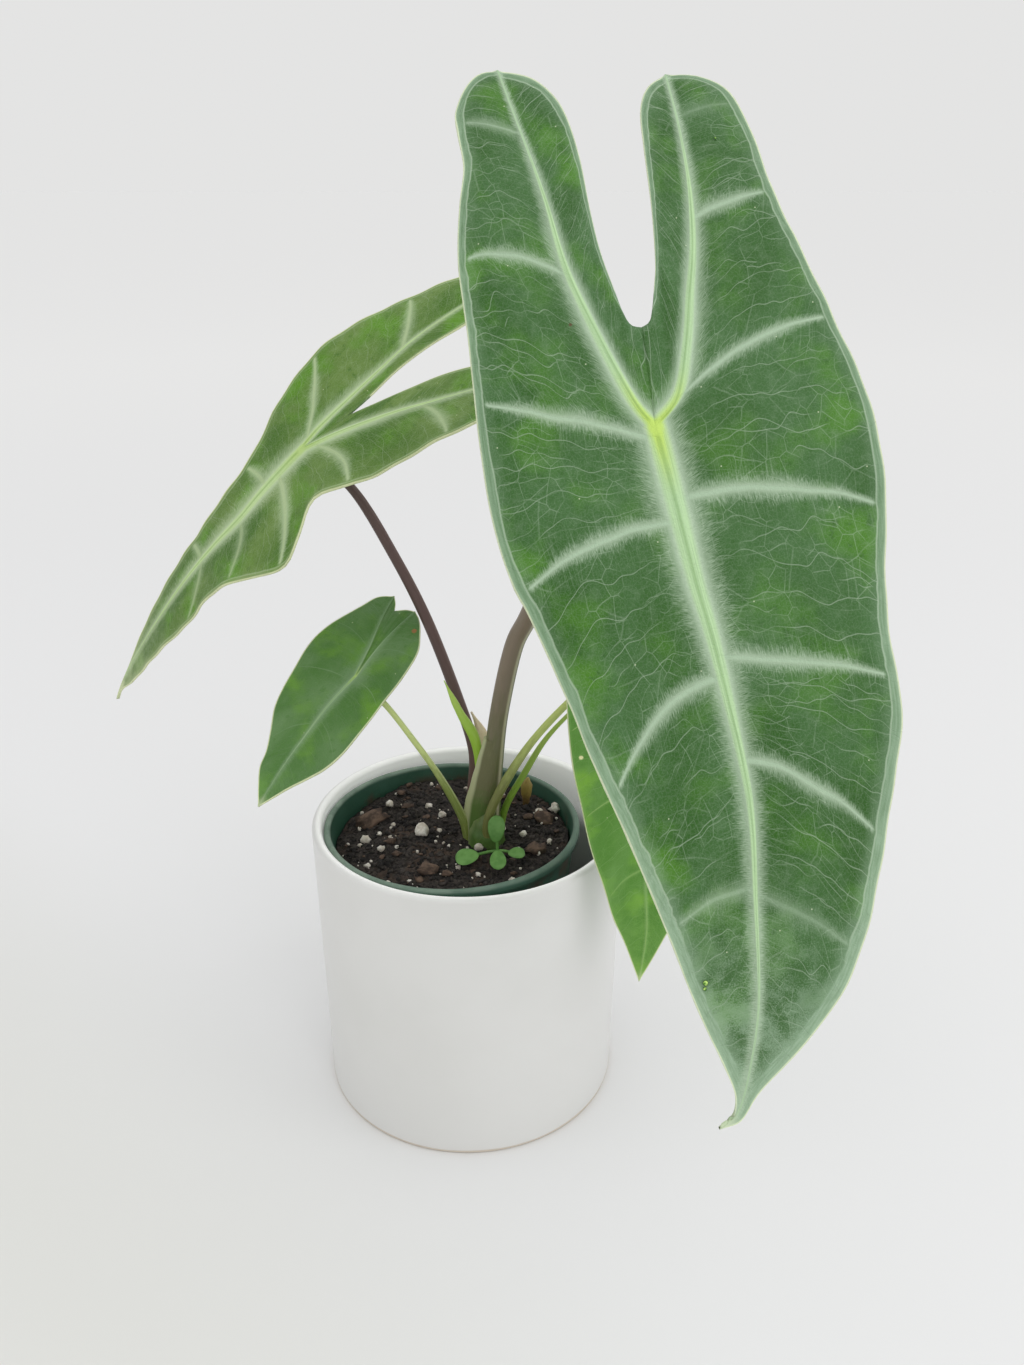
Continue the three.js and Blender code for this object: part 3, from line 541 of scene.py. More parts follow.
def ladder(bm, leaf, axes, rungs, steps, flip):
    """A grid whose row i is rungs[i], as points, lifts and finish values."""
    made = bmesh.ops.create_grid(bm, x_segments=len(rungs) - 1, y_segments=steps, size=1.0)
    top, under = bm.verts.layers.float["top"], bm.verts.layers.float["under"]
    known = {}
    for vert in made["verts"]:
        i = round((vert.co.x + 1) / 2 * (len(rungs) - 1))
        j = round((vert.co.y + 1) / 2 * steps)
        known[vert] = rungs[i](j / steps)
        values = known[vert]
        vert.co = place_on_leaf(leaf, axes, values["x"], values["y"], values["lift"])
        vert[top], vert[under] = values["top"] * MM, values["under"] * MM
    faces = {face for vert in made["verts"] for face in vert.link_faces}
    maps = [bm.loops.layers.uv[name] for name in UV_NAMES]
    for face in faces:
        for loop in face.loops:
            for uv, key in zip(maps, UV_NAMES):
                loop[uv].uv = known[loop.vert][key]
    if flip:
        bmesh.ops.reverse_faces(bm, faces=list(faces))


def make_rung(leaf, root, end, run, phase, gaps, sag, show, reach, waves=None, quilting=1.0):
    """A function that gives the point and values at share v from the main vein to the margin."""
    length = (end - root).length
    tip_run = reach if run > 0 else reach * LOBE_REACH
    taper = max(0.0, 1 - abs(run) / tip_run)
    vein_half = VEIN_HALF + VEIN_GROWTH * taper
    notch_gap = 0.0 if waves else NOTCH_GAP * max(0.0, 1 - 3 * quilting)

    def at(v):
        p = root.lerp(end, v)
        p = Vector((p.x, p.y - sag * length * 4 * v * (1 - v)))
        away, edge = v * length, (1 - v) * length
        gap = gaps[0] + (gaps[1] - gaps[0]) * v
        from_side = abs(phase - round(phase)) * gap
        calm_share = min(length / CALM_WIDTH, 1)
        lift = 0.0
        if waves:
            lift = soft_read(waves, end.y) * v * v * calm_share
            lift += leaf["ripple"] * math.sin(2 * math.pi * end.y / RIPPLE_LENGTH) * v**5 * calm_share
        quilt = leaf["quilt"] * quilting * swell(from_side, QUILT_WIDTH)
        quilt *= swell(away, CLEAR_OF_VEIN) * swell(edge, QUILT_WIDTH)
        side_ridge = show * bell(from_side, 0.8) * (1 - v) * min(1, away / 3)
        top = (TOP_RIDGE + TOP_GROWTH * taper) * bell(away, vein_half)
        under = (UNDER_RIDGE + UNDER_GROWTH * taper) * bell(away, vein_half * 0.8)
        return {
            "x": p.x, "y": p.y, "lift": lift + quilt,
            "top": top - TOP_GROOVE * bell(away - vein_half - 1, 0.8),
            "under": under + UNDER_SIDE_RIDGE * side_ridge,
            "vein_run": (run, away), "side_veins": (phase, v * length),
            "gap_edge": (gap, edge + notch_gap), "strength": (show, v), "flat": (p.x, p.y),
        }

    return at


def blade_half(bm, leaf, axes, side, which):
    midrib, lobe = Line(leaf["midrib"]), Line(side["lobe"])
    outer, inner = Line(side["outer"]), Line(side["inner"])
    spine = midrib.total + lobe.total
    count = len(side["veins"])

    def spine_share(y):
        if y >= 0:
            return (1 - midrib.share_at_y(y)) * midrib.total / spine
        return (midrib.total + lobe.share_at_y(y) * lobe.total) / spine

    roots = [0.0] + [spine_share(a) for a, b, sag, show in side["veins"]] + [1.0]
    ends = [0.0] + [outer.share_at_y(b) for a, b, sag, show in side["veins"]] + [1.0]
    sags = [0.0] + [v[2] for v in side["veins"]] + [0.0]
    shows = [0.0] + [v[3] for v in side["veins"]] + [0.0]
    shift = HALF_SHIFT * which
    tip_steps = round(midrib.total / leaf["step"])
    lobe_steps = round(lobe.total / leaf["step"])
    widest = max((outer.at(k / 40) - midrib.at(0)).length for k in range(10, 35))
    steps = max(8, round(widest * WIDEST_SHARE / leaf["step"]))
    outer_rungs = []
    reach = midrib.total
    for i in range(tip_steps + lobe_steps + 1):
        if i <= tip_steps:
            along = i / tip_steps
            root, run = midrib.at(1 - along), (1 - along) * midrib.total
            share = along * midrib.total / spine
        else:
            along = (i - tip_steps) / lobe_steps
            root, run = lobe.at(along), -along * lobe.total
            share = (midrib.total + along * lobe.total) / spine
        k = min(count, max(n for n in range(count + 2) if roots[n] <= share + 1e-9))
        gaps = ((roots[k + 1] - roots[k]) * spine, (ends[k + 1] - ends[k]) * outer.total)
        phase = straight_read(list(zip(roots, range(count + 2))), share)
        end = outer.at(straight_read(list(zip(roots, ends)), share))
        sag = straight_read(list(zip(roots, sags)), share)
        show = straight_read(list(zip(roots, shows)), share)
        phase += shift
        rung = make_rung(leaf, root, end, run, phase, gaps, sag, show, reach, side["waves"])
        outer_rungs.append(rung)
    ladder(bm, leaf, axes, outer_rungs, steps, which == 1)
    inner_rungs = []
    for i in range(lobe_steps + 1):
        along = i / lobe_steps
        end = Vector(leaf["notch"]) if i == 0 else inner.at(along)
        phase = INNER_START + shift + along * lobe.total / INNER_VEIN_STEP
        run, gaps, quilting = -along * lobe.total, (INNER_GAP, INNER_GAP), min(1, 4 * along) ** 2
        rung = make_rung(leaf, lobe.at(along), end, run, phase, gaps, 0, 0, reach, quilting=quilting)
        inner_rungs.append(rung)
    ladder(bm, leaf, axes, inner_rungs, max(6, steps // 3), which == 0)


def blade_mesh(leaf):
    bm = bmesh.new()
    for name in UV_NAMES:
        bm.loops.layers.uv.new(name)
    bm.verts.layers.float.new("top")
    bm.verts.layers.float.new("under")
    bm.verts.layers.float_vector.new("outward")
    axes = leaf_axes(leaf)
    for which, side in enumerate(leaf["sides"]):
        blade_half(bm, leaf, axes, side, which)
    bmesh.ops.remove_doubles(bm, verts=bm.verts, dist=1e-6)
    bmesh.ops.dissolve_degenerate(bm, edges=bm.edges, dist=1e-7)
    bm.normal_update()
    if sum((face.normal for face in bm.faces), Vector()).dot(axes[2]) < 0:
        bmesh.ops.reverse_faces(bm, faces=bm.faces)
        bm.normal_update()
    outward = bm.verts.layers.float_vector["outward"]
    top, under = bm.verts.layers.float["top"], bm.verts.layers.float["under"]
    for vert in bm.verts:
        vert[outward] = vert.normal
    first_faces = list(bm.faces)
    for face in first_faces:
        face.material_index = 1
    grown = bmesh.ops.extrude_face_region(bm, geom=first_faces, use_keep_orig=True)
    upper = {item for item in grown["geom"] if isinstance(item, bmesh.types.BMVert)}
    for item in grown["geom"]:
        if isinstance(item, bmesh.types.BMFace):
            item.material_index = 0
    half = BLADE_THICKNESS / 2 * MM
    for vert in bm.verts:
        if vert in upper:
            vert.co += vert[outward] * (half + vert[top])
        else:
            vert.co -= vert[outward] * (half + vert[under])
    bmesh.ops.recalc_face_normals(bm, faces=bm.faces)
    for name in ("top", "under"):
        bm.verts.layers.float.remove(bm.verts.layers.float[name])
    return bm


# %% [markdown]
# The blade's finish is a drawing in itself. On the real leaf the green field is a little hazy and
# turns fresher towards the margin. The main veins have a bright core, and a pale halo that runs
# out into hair-fine feathers across the vein. Side veins do the same more narrowly, thin silver
# veinlets wander between them, and a pale collecting vein runs just inside the margin. All of it
# follows the veins, so the group reads the blade's own UV maps instead of plain object space.

# %% Leaf finish group
MAP_LABELS = ("Run", "Side", "Edge", "Strength", "Flat")
GREEN_LABELS = ("Field", "Hazy", "Fresh", "Core", "Mint", "Halo", "Band", "Rim")
WIDTH_LABELS = (
    "Halo width", "Side halo width", "Vein width", "Side vein width", "Reach", "Band width", "Silver",
    "Haze", "Seam", "Star",
)
LEAF_INPUTS = [(label, "Vector", None) for label in MAP_LABELS]
LEAF_INPUTS += [(label, "Color", (0.1, 0.3, 0.1)) for label in GREEN_LABELS]
LEAF_INPUTS += [(label, "Float", 1.0) for label in WIDTH_LABELS]
LEAF_INPUTS += [
    ("Cream", "Color", (0.80, 0.85, 0.52)), ("Blemish", "Color", (0.20, 0.10, 0.035)),
    ("Blemish place", "Vector", None), ("Blemish size", "Float", 0.0),
]
leaf_tree, w, leaf_in, leaf_out = new_group(
    "alocasia_leaf", LEAF_INPUTS, [("Color", "Color"), ("Roughness", "Float"), ("Height", "Float")]
)
run, away, _ = w.parts(leaf_in["Run"])
count_side, along_side, _ = w.parts(leaf_in["Side"])
gap_side, from_edge, _ = w.parts(leaf_in["Edge"])
show_side, share_out, _ = w.parts(leaf_in["Strength"])
flat_x, flat_y, _ = w.parts(leaf_in["Flat"])
half_id = w.math("FLOOR", w.math("DIVIDE", count_side, 10.0))
near_count = w.math("ROUND", count_side)
run_here = w.math("ABSOLUTE", run)
on_lobe = w.math("LESS_THAN", run, 0.0)
lobe_extra = w.times(on_lobe, w.times(run_here, 0.75))
taper = w.slope(w.add(run_here, lobe_extra), 0.0, leaf_in["Reach"], 1.0, 0.0)
tip_share = w.slope(run, w.times(leaf_in["Reach"], 0.55), w.times(leaf_in["Reach"], 0.95))


def streaks(length_way, cross_way, name, fine, slow):
    return w.noise(w.point(w.times(length_way, fine), w.times(cross_way, slow), name), 1.0, 3, 0.55)


def fur(distance, width, hair, patch, peak):
    """Soft beside the vein, and thinning out in single hairs where the distance nears the width."""
    reach = w.times(width, w.add(w.times(patch, 0.8), 0.7))
    share = w.math("DIVIDE", distance, reach)
    body = w.times(w.slope(share, 0.0, 0.62, peak, 0.0), w.add(w.times(hair, 0.7), 0.65))
    ragged = w.add(share, w.times(w.minus(hair, 0.5), 1.7))
    tips = w.slope(ragged, -0.1, 1.05, 0.7, 0.0)
    return w.math("MINIMUM", w.most(body, tips), 1.0)


# The midrib and the two lobe veins
core_half = w.times(leaf_in["Vein width"], w.add(w.times(w.math("POWER", taper, 1.5), 0.88), 0.12))
beside_core = w.most(w.minus(away, w.times(core_half, 0.8)), 0.0)
main_hair = streaks(w.add(run, w.times(away, 0.35)), away, half_id, 4.2, 0.5)
main_patch = w.noise(w.point(w.times(run, 0.09), half_id, 0.0), 1.0, 2)
main_base = w.slope(run, 0.0, 20.0, 0.3, 0.4)
main_width = w.times(leaf_in["Halo width"], w.add(w.times(taper, 0.8), main_base))
halo_main = fur(beside_core, main_width, main_hair, main_patch, w.slope(taper, 0.1, 0.9, 0.55, 0.95))
core_share = w.math("DIVIDE", away, core_half)
to_stalk = w.length(leaf_in["Flat"])
star_hair = w.noise(w.point(flat_x, flat_y, half_id), 1.1, 3)
knot_size = w.times(leaf_in["Vein width"], w.add(star_hair, 0.75))
knot = w.slope(to_stalk, w.times(knot_size, 0.35), knot_size, 1.0, 0.0)
core_main = w.most(w.slope(core_share, 0.62, 1.3, 1.0, 0.0), knot)
star = w.slope(to_stalk, knot_size, w.times(leaf_in["Star"], w.add(star_hair, 0.5)), 0.6, 0.0)
# Painted highlight: the two edges of the main vein's rounded core are painted lighter mint below
painted_core_highlight = w.slope(core_share, 0.3, 0.75)

# The side veins, each with its own slow sway
sway = w.noise(w.point(w.times(along_side, 0.07), w.times(near_count, 3.1), half_id), 1.0, 1)
sway_size = w.times(w.slope(share_out, 0.0, 0.3), 2.6)
off_side = w.minus(count_side, near_count)
off_side = w.add(w.times(off_side, gap_side), w.times(w.minus(sway, 0.5), sway_size))
from_side = w.math("ABSOLUTE", off_side)
flank_id = w.add(w.times(near_count, 3.7), w.times(w.math("SIGN", off_side), 1.3))
side_hair = streaks(along_side, from_side, flank_id, 4.6, 0.7)
side_patch = w.noise(w.point(w.times(along_side, 0.13), flank_id, 0.0), 1.0, 2)
side_width = w.times(leaf_in["Side halo width"], w.slope(share_out, 0.45, 1.0, 1.0, 0.3))
band_width = w.times(leaf_in["Band width"], w.slope(run, -20.0, 120.0, 0.74, 1.0))
inside = w.slope(from_edge, band_width, w.add(band_width, 1.2))
halo_side = w.times(fur(from_side, side_width, side_hair, side_patch, 0.85), inside, show_side)
side_half = w.times(leaf_in["Side vein width"], w.slope(share_out, 0.0, 1.0, 1.0, 0.5))
core_side = w.times(w.slope(w.math("DIVIDE", from_side, side_half), 0.5, 1.3, 1.0, 0.0), inside, show_side)


def thin_family(number, seed, sweep, fade_from, fade_to):
    """Thin veins between each pair of side veins; they wander out, and fade where a noise is low."""
    wander = w.noise(w.point(w.times(along_side, 0.06), w.times(near_count, seed), half_id), 1.0, 2, 0.6)
    place = w.add(w.times(count_side, number), w.times(w.minus(wander, 0.5), sweep))
    off = w.math("ABSOLUTE", w.minus(place, w.math("ROUND", place)))
    line = w.slope(w.times(off, gap_side, 1 / number), 0.03, 0.21, 1.0, 0.0)
    name = w.times(w.math("ROUND", place), seed)
    seen = w.slope(w.noise(w.point(w.times(along_side, 0.06), name, half_id), 1.0, 1), fade_from, fade_to)
    return w.times(line, seen, w.slope(from_side, 2.5, 5.5), w.slope(share_out, 0.08, 0.5, 0.35, 1.0))


# Two families of thin veins cross each other between the side veins, so they fork and join
thin_veins = w.most(thin_family(5.0, 5.3, 2.0, 0.32, 0.52), thin_family(6.0, 8.9, 3.4, 0.46, 0.62))

# The net of small veins between those, stretched along the side veins and bent by a slow noise
mesh_place = w.point(w.times(count_side, 22.0), along_side, half_id)


def vector_math(operation, inputs):
    return w.node("ShaderNodeVectorMath", inputs, operation=operation).outputs[0]


def bent(vector, scale, amount):
    drift = w.node("ShaderNodeTexNoise", {"Vector": vector, "Scale": scale, "Detail": 0.0}).outputs["Color"]
    centred = vector_math("SUBTRACT", {0: drift, 1: (0.5, 0.5, 0.5)})
    return vector_math("ADD", {0: vector, 1: vector_math("SCALE", {0: centred, "Scale": amount})})


def net(vector, wide, long, thin, soft, shift):
    """Lines between flat cells of that size; the half of the leaf shifts the pattern."""
    x, y, _ = w.parts(vector)
    place = w.point(w.add(w.times(x, 1 / wide), shift), w.add(w.times(y, 1 / long), w.times(half_id, 7.3)))
    line = w.flat_cells(place, 1.0, "DISTANCE_TO_EDGE")
    return w.slope(line, thin, soft, 1.0, 0.0)


bent_place = bent(bent(mesh_place, 0.05, 4.0), 0.3, 0.45)
clouds = w.noise(mesh_place, 0.045, 3)
clear = w.slope(w.noise(mesh_place, 0.075, 2), 0.36, 0.58)
veinlets = w.times(net(bent_place, 5.0, 17.0, 0.003, 0.02, 0.0), w.add(w.times(clear, 0.32), 0.04))
veinlets = w.most(veinlets, thin_veins)
twigs_seen = w.slope(w.noise(mesh_place, 0.11, 1), 0.42, 0.62)
twigs = w.times(net(bent_place, 2.8, 4.4, 0.004, 0.035, 5.0), twigs_seen)
areoles = net(bent(leaf_in["Flat"], 0.9, 0.9), 1.1, 1.3, 0.02, 0.16, 0.0)
grain = w.noise(leaf_in["Flat"], 2.6, 2, 0.6)
side_lines = w.slope(streaks(along_side, from_side, flank_id, 2.8, 0.05), 0.54, 0.7)
side_lines = w.times(side_lines, w.slope(from_side, 2.0, 11.0, 1.0, 0.0), show_side)
main_lines = w.slope(streaks(run, away, half_id, 2.8, 0.05), 0.54, 0.7)
main_lines = w.times(main_lines, w.slope(away, 3.0, 15.0, 1.0, 0.0))
hairs = w.most(side_lines, main_lines)


def paint(base, *layers):
    """The group's colours over the base, one after the other, each with its own share."""
    for share, label in layers:
        base = w.mix(share, base, leaf_in[label])
    return base


# The field: green, haze, fresher patches near the margin, then the finest lines
haze, silver, seam_amount = leaf_in["Haze"], leaf_in["Silver"], leaf_in["Seam"]
near_margin = w.slope(from_edge, 4.0, 22.0, 1.0, 0.0)
fresh_spot = w.slope(w.noise(leaf_in["Flat"], 0.055, 3), 0.46, 0.68)
watery = w.noise(leaf_in["Flat"], 0.33, 3)
field = paint(
    leaf_in["Field"],
    (w.times(w.slope(clouds, 0.34, 0.66), haze), "Hazy"),
    (w.times(w.add(w.times(near_margin, 0.45), 0.5), fresh_spot), "Fresh"),
    (w.slope(watery, 0.42, 0.3, 0.0, 0.6), "Field"),
    (w.times(w.slope(watery, 0.5, 0.68), 0.06, haze), "Halo"),
    (w.times(w.slope(grain, 0.46, 0.74), 0.11, haze), "Halo"),
    (w.times(areoles, 0.05), "Halo"),
    (w.times(hairs, 0.22, haze), "Halo"),
    (w.times(twigs, silver, 0.6), "Halo"),
    (w.times(veinlets, silver), "Halo"),
)

# The tip is hazy and pale, and a few white specks lie about
mottle = w.add(w.noise(leaf_in["Flat"], 0.11, 3), w.times(w.minus(grain, 0.5), 0.75))
mottle = w.add(mottle, w.times(w.minus(watery, 0.5), 0.4))
hazy_tip = w.times(tip_share, w.slope(mottle, 0.35, 0.65, 0.12, 0.68))
speck = w.slope(w.flat_cells(leaf_in["Flat"], 0.042), 0.004, 0.010, 0.6, 0.0)
field = paint(field, (hazy_tip, "Band"), (speck, "Cream"))

# The collecting vein inside the margin, and the pale seam outside it
meander = w.noise(w.point(w.times(run, 0.13), half_id, 0.0), 1.0, 2)
ring = w.times(band_width, w.add(w.times(meander, 0.8), 0.6))
seam = w.slope(w.minus(ring, from_edge), -0.2, 0.35)
seam_streak = w.noise(w.point(w.times(from_edge, 2.2), w.times(run, 0.2), half_id), 1.0, 2)
ring_line = w.slope(w.math("ABSOLUTE", w.minus(from_edge, ring)), 0.1, 0.32, 1.0, 0.0)
ring_line = w.times(ring_line, w.slope(tip_share, 0.0, 0.4, 1.0, 0.0))
seam_shade = w.add(w.slope(seam_streak, 0.3, 0.7, 0.0, 0.34), w.slope(run, 0.0, 130.0, 0.4, 0.0))
outer_share = w.slope(from_edge, 0.3, w.times(band_width, 0.5), 0.6, 0.1)
seam_color = paint(leaf_in["Band"], (seam_shade, "Hazy"), (outer_share, "Rim"))
beside_seam = w.slope(w.minus(from_edge, ring), -0.2, 3.4, 0.42, 0.0)
field = paint(field, (w.times(beside_seam, seam_amount, w.slope(run, 40.0, 120.0, 0.35, 1.0)), "Band"))
field = w.mix(w.times(seam, seam_amount), field, seam_color)
field = paint(
    field,
    (w.times(ring_line, seam_amount, 0.55), "Halo"),
    (w.slope(from_edge, 0.16, 0.5, 0.85, 0.0), "Cream"),
)
to_blemish = w.length(vector_math("SUBTRACT", {0: leaf_in["Flat"], 1: leaf_in["Blemish place"]}))
rough_size = w.times(leaf_in["Blemish size"], w.add(grain, 0.5))
blemish = w.slope(to_blemish, w.times(rough_size, 0.6), w.add(rough_size, 0.001), 1.0, 0.0)

# The veins over all of it
halo = w.most(halo_main, halo_side, star)
near_stalk = w.slope(run_here, 0.0, w.times(leaf_in["Reach"], 0.11), 1.0, 0.0)
core_line = w.noise(w.point(w.times(away, 3.0), w.times(run, 0.06), half_id), 1.0, 2)
groove = w.times(w.slope(core_share, 0.0, 0.45, 1.0, 0.0), w.slope(taper, 0.1, 0.9, 0.24, 0.36))
core_color = paint(
    leaf_in["Mint"],
    (near_stalk, "Core"),
    (w.times(painted_core_highlight, 0.55), "Mint"),
    (w.times(w.slope(core_line, 0.4, 0.7), 0.22), "Hazy"),
    (groove, "Fresh"),
    (w.slope(taper, 0.0, 0.3, 0.55, 0.0), "Rim"),
    (w.times(knot, 0.8), "Core"),
)
color = w.mix(core_main, paint(field, (halo, "Halo"), (w.times(core_side, 0.55), "Rim")), core_color)
dry_end = w.slope(run, w.minus(leaf_in["Reach"], 8.0), leaf_in["Reach"], 0.0, 0.6)
w.feed(leaf_out["Color"], paint(color, (blemish, "Blemish"), (dry_end, "Cream")))
w.feed(leaf_out["Roughness"], w.add(w.times(grain, 0.14), w.times(halo, 0.12), 0.36))
relief = w.add(w.times(core_side, -0.5), w.times(areoles, -0.3), w.times(veinlets, -0.6))
w.feed(leaf_out["Height"], w.add(relief, w.times(w.add(grain, clouds), 0.4)))
print("leaf finish:", len(leaf_tree.nodes), "nodes")

# %% [markdown]
# Each blade gets the group with its own greens: the large leaf is deep and hazy, the left one is
# yellower because light shines through it, and the young ones are plain. The right one hangs in
# shade, so its plain greens are lifted, painted light. The lower face of each blade is the same
# drawing in paler, duller colours, as on the plant.

# %% Leaf materials
DARK_GREENS = [
    (0.025, 0.104, 0.009), (0.056, 0.152, 0.041), (0.066, 0.210, 0.011), (0.56, 0.77, 0.16),
    (0.50, 0.71, 0.40), (0.48, 0.615, 0.445), (0.33, 0.47, 0.32), (0.39, 0.54, 0.37),
]
YELLOW_GREENS = [
    (0.050, 0.145, 0.005), (0.146, 0.252, 0.048), (0.098, 0.275, 0.004), (0.50, 0.68, 0.24),
    (0.56, 0.74, 0.36), (0.54, 0.67, 0.42), (0.40, 0.50, 0.25), (0.44, 0.56, 0.28),
]
PLAIN_GREENS = [
    (0.072, 0.185, 0.034), (0.128, 0.245, 0.086), (0.135, 0.310, 0.026), (0.40, 0.58, 0.18),
    (0.30, 0.44, 0.24), (0.22, 0.34, 0.18), (0.13, 0.27, 0.08), (0.20, 0.34, 0.12),
]
# Painted light: the plain greens made brighter for the right leaf, which hangs in shade
SHADE_LIFTED_GREENS = [
    (0.092, 0.262, 0.032), (0.158, 0.340, 0.080), (0.235, 0.505, 0.045), (0.34, 0.55, 0.14),
    (0.24, 0.44, 0.12), (0.27, 0.47, 0.15), (0.20, 0.40, 0.08), (0.34, 0.52, 0.14),
]
UNDERSIDE = (0.16, 0.26, 0.12)
UNDERSIDE_SHARE = 0.55
BUMP_DISTANCE = 0.00025
LEAF_STYLES = [
    (LARGE_LEAF, DARK_GREENS, (5.4, 3.6, 2.5, 0.6, 175.0, 2.9, 0.38, 0.85, 0.9, 6.0), {
        "Blemish": (0.10, 0.07, 0.03), "Blemish place": (16.4, -27.9, 0), "Blemish size": 0.5,
        "Cream": (0.80, 0.87, 0.60)}),
    (LEFT_LEAF, YELLOW_GREENS, (5.6, 4.4, 2.2, 1.0, 138.0, 1.6, 0.2, 0.95, 0.6, 5.0), {}),
    (SMALL_LEAF, PLAIN_GREENS, (3.0, 0.4, 0.6, 0.1, 60.0, 0.7, 0.12, 1.0, 0.15, 8.0), {
        "Blemish": (0.34, 0.16, 0.06), "Blemish place": (-7.4, -26.8, 0), "Blemish size": 1.2}),
    (RIGHT_LEAF, SHADE_LIFTED_GREENS, (2.0, 1.0, 0.9, 0.4, 120.0, 1.0, 0.4, 0.8, 0.3, 3.0), {
        "Blemish": (0.86, 0.84, 0.45), "Blemish place": (22.5, 33.5, 0), "Blemish size": 0.9}),
    (HIDDEN_LEAF, YELLOW_GREENS, (1.4, 0.9, 0.8, 0.35, 60.0, 0.8, 0.15, 0.6, 0.3, 4.0), {}),
]


def underside(color):
    return tuple(c + (u - c) * UNDERSIDE_SHARE for c, u in zip(color, UNDERSIDE))


def leaf_material(name, greens, widths, marks):
    made, wiring, shader = new_material(name, 0.42, 0.25)
    inputs = {**dict(zip(GREEN_LABELS, greens)), **dict(zip(WIDTH_LABELS, widths)), **marks}
    for label, uv in zip(MAP_LABELS, UV_NAMES):
        inputs[label] = wiring.node("ShaderNodeUVMap", uv_map=uv).outputs[0]
    skin = place_group(wiring, leaf_tree, inputs)
    wiring.feed(shader.inputs["Base Color"], skin["Color"])
    wiring.feed(shader.inputs["Roughness"], skin["Roughness"])
    wiring.bump(shader, skin["Height"], BUMP_DISTANCE, 0.6)
    return made


# %% Blades
for leaf, greens, widths, marks in LEAF_STYLES:
    name = leaf["name"]
    upper = leaf_material(name + "_upper", greens, widths, marks)
    lower = leaf_material(name + "_lower", [underside(color) for color in greens], widths, marks)
    add_piece(name + "_fine", blade_mesh(leaf), [upper, lower], [name])

# %% [markdown]
# Stalks, shoots and sheaths are all lofts: a ring of edges walks along a smooth path, and every
# step extrudes it once. A curve object would be quicker, but here the section changes on the way
# and the finish wants to know where it is on the stalk, so each point keeps the cosine and sine of
# its place round the stalk and its share of the length.

# %% Stalk mesh
STALKS = [
    {"name": "petiole_1", "slot": "large_stalk", "radii": [4.2, 3.5, 3.3, 2.8, 1.9],
     "path": [(7.6, -3.9, 104), (8.8, -3.2, 122), (10, -2.4, 138), (12.4, -3, 160), (17.6, -9, 188),
              (23.2, -18, 204), (33.4, -49, 241), (43, -84, 266), (50.6, -112.6, 284.2)]},
    {"name": "petiole_2", "slot": "dark_stalk", "radii": [2.5, 2.2, 2.1, 1.9, 1.5],
     "path": [(0.5, 3.6, 104), (1.9, 6, 122), (2.3, 8.1, 139), (-3.8, 11, 160), (-14.4, 12.8, 190),
              (-25.5, 12.2, 215), (-39.4, 10.6, 240.6), (-54.6, 9.8, 253.2)]},
    {"name": "petiole_3", "slot": "pale_stalk", "radii": [2, 1.6, 1.2, 1.1, 1.2],
     "path": [(0.4, -2.6, 104), (-2.2, -3.4, 116), (-10.6, -4, 134), (-20.5, -4.4, 150.4), (-30, -4, 164),
              (-39.4, -3.3, 173.1)]},
    {"name": "petiole_4", "slot": "olive_stalk", "radii": [1.7, 1.8, 1.4, 1.25, 1.3],
     "path": [(8.6, -10.2, 104), (7.6, -10.4, 116), (12, -9.4, 129), (23.5, -8.4, 149), (37, -13, 168),
              (49, -20.4, 183), (62.2, -32, 192.6)]},
    {"name": "petiole_5", "slot": "green_stalk", "radii": [1.4, 1.3, 0.8, 0.7, 0.8],
     "path": [(12, 0.4, 103.6), (14.6, 0.2, 118), (22, 0.4, 133), (29.5, 0.6, 146.6), (39.6, 1.6, 158.4),
              (58.5, 8, 175.5), (82.8, 16.4, 196)]},
]
SHOOTS = [
    {"name": "cataphyll", "slot": "shoot", "radii": [1.3, 1.3, 1.3, 1.7, 2.1, 1.4, 0.2],
     "flat": 0.5,
     "path": [(3.9, 0.9, 104), (4.3, 0.8, 121), (4.6, 0.9, 136), (2.8, 0.6, 148), (-2.2, 0.3, 158),
              (-8, 0, 171.5)]},
    {"name": "dried_sheath", "slot": "dry_sheath", "radii": [1.2, 1.5, 2, 2.7, 0.4], "flat": 0.45,
     "path": [(4.4, 7.2, 103.6), (5.6, 8.8, 120), (6.1, 9.8, 135), (5.2, 10.6, 145), (1.4, 11.6, 153.5)]},
    {"name": "old_sprout", "slot": "old_sprout", "radii": [1.4, 1.4, 1.4, 2.2, 2.4, 0.5], "flat": 0.7,
     "path": [(22.9, 24.4, 101), (22.9, 24.4, 109), (23, 24.5, 113.5), (23.6, 24.8, 118)]},
]
CROWN_SHEATH = {
    "name": "crown_sheath", "slot": "large_stalk", "radii": [7.8, 7.2, 5.9, 5.0, 4.5, 3.7], "flat": 0.85,
    "path": [(6.8, -1.6, 101), (6.6, -1.9, 109), (6.2, -2.2, 118), (7.3, -2.6, 128), (9.1, -2.5, 139),
             (10.7, -2.6, 149)]}

CROWN_BASE = {
    "name": "crown_base", "slot": "large_stalk", "radii": [7.4, 7.2, 6.6, 5.2, 2.6], "flat": 1.16,
    "path": [(7.0, -4.6, 101), (6.9, -4.7, 107), (6.9, -4.8, 111), (7.2, -4.8, 115), (7.8, -4.6, 119)]}


def winged(angle, share):
    """The sheath's free edge: a thin ridge down its left flank that widens towards the foot."""
    off = (math.pi - abs(angle)) / 0.20
    return 1 + (0.12 + 0.14 * math.sin(math.pi * min(1, share * 1.15))) * math.exp(-off * off)


def ribbed(angle, share):
    """The foot of the cluster: folded stalk bases in one swollen, uneven bulb."""
    return 1 + 0.06 * math.sin(5 * angle + 0.8) * (1 - share) + 0.03 * math.sin(9 * angle + 4 * share)


STALK_SIDES = 28
STALK_STEP = 1.6


def blend(values, t):
    place = min(t, 1) * (len(values) - 1)
    i = min(int(place), len(values) - 2)
    f = place - i
    return values[i] + (values[i + 1] - values[i]) * f * f * (3 - 2 * f)


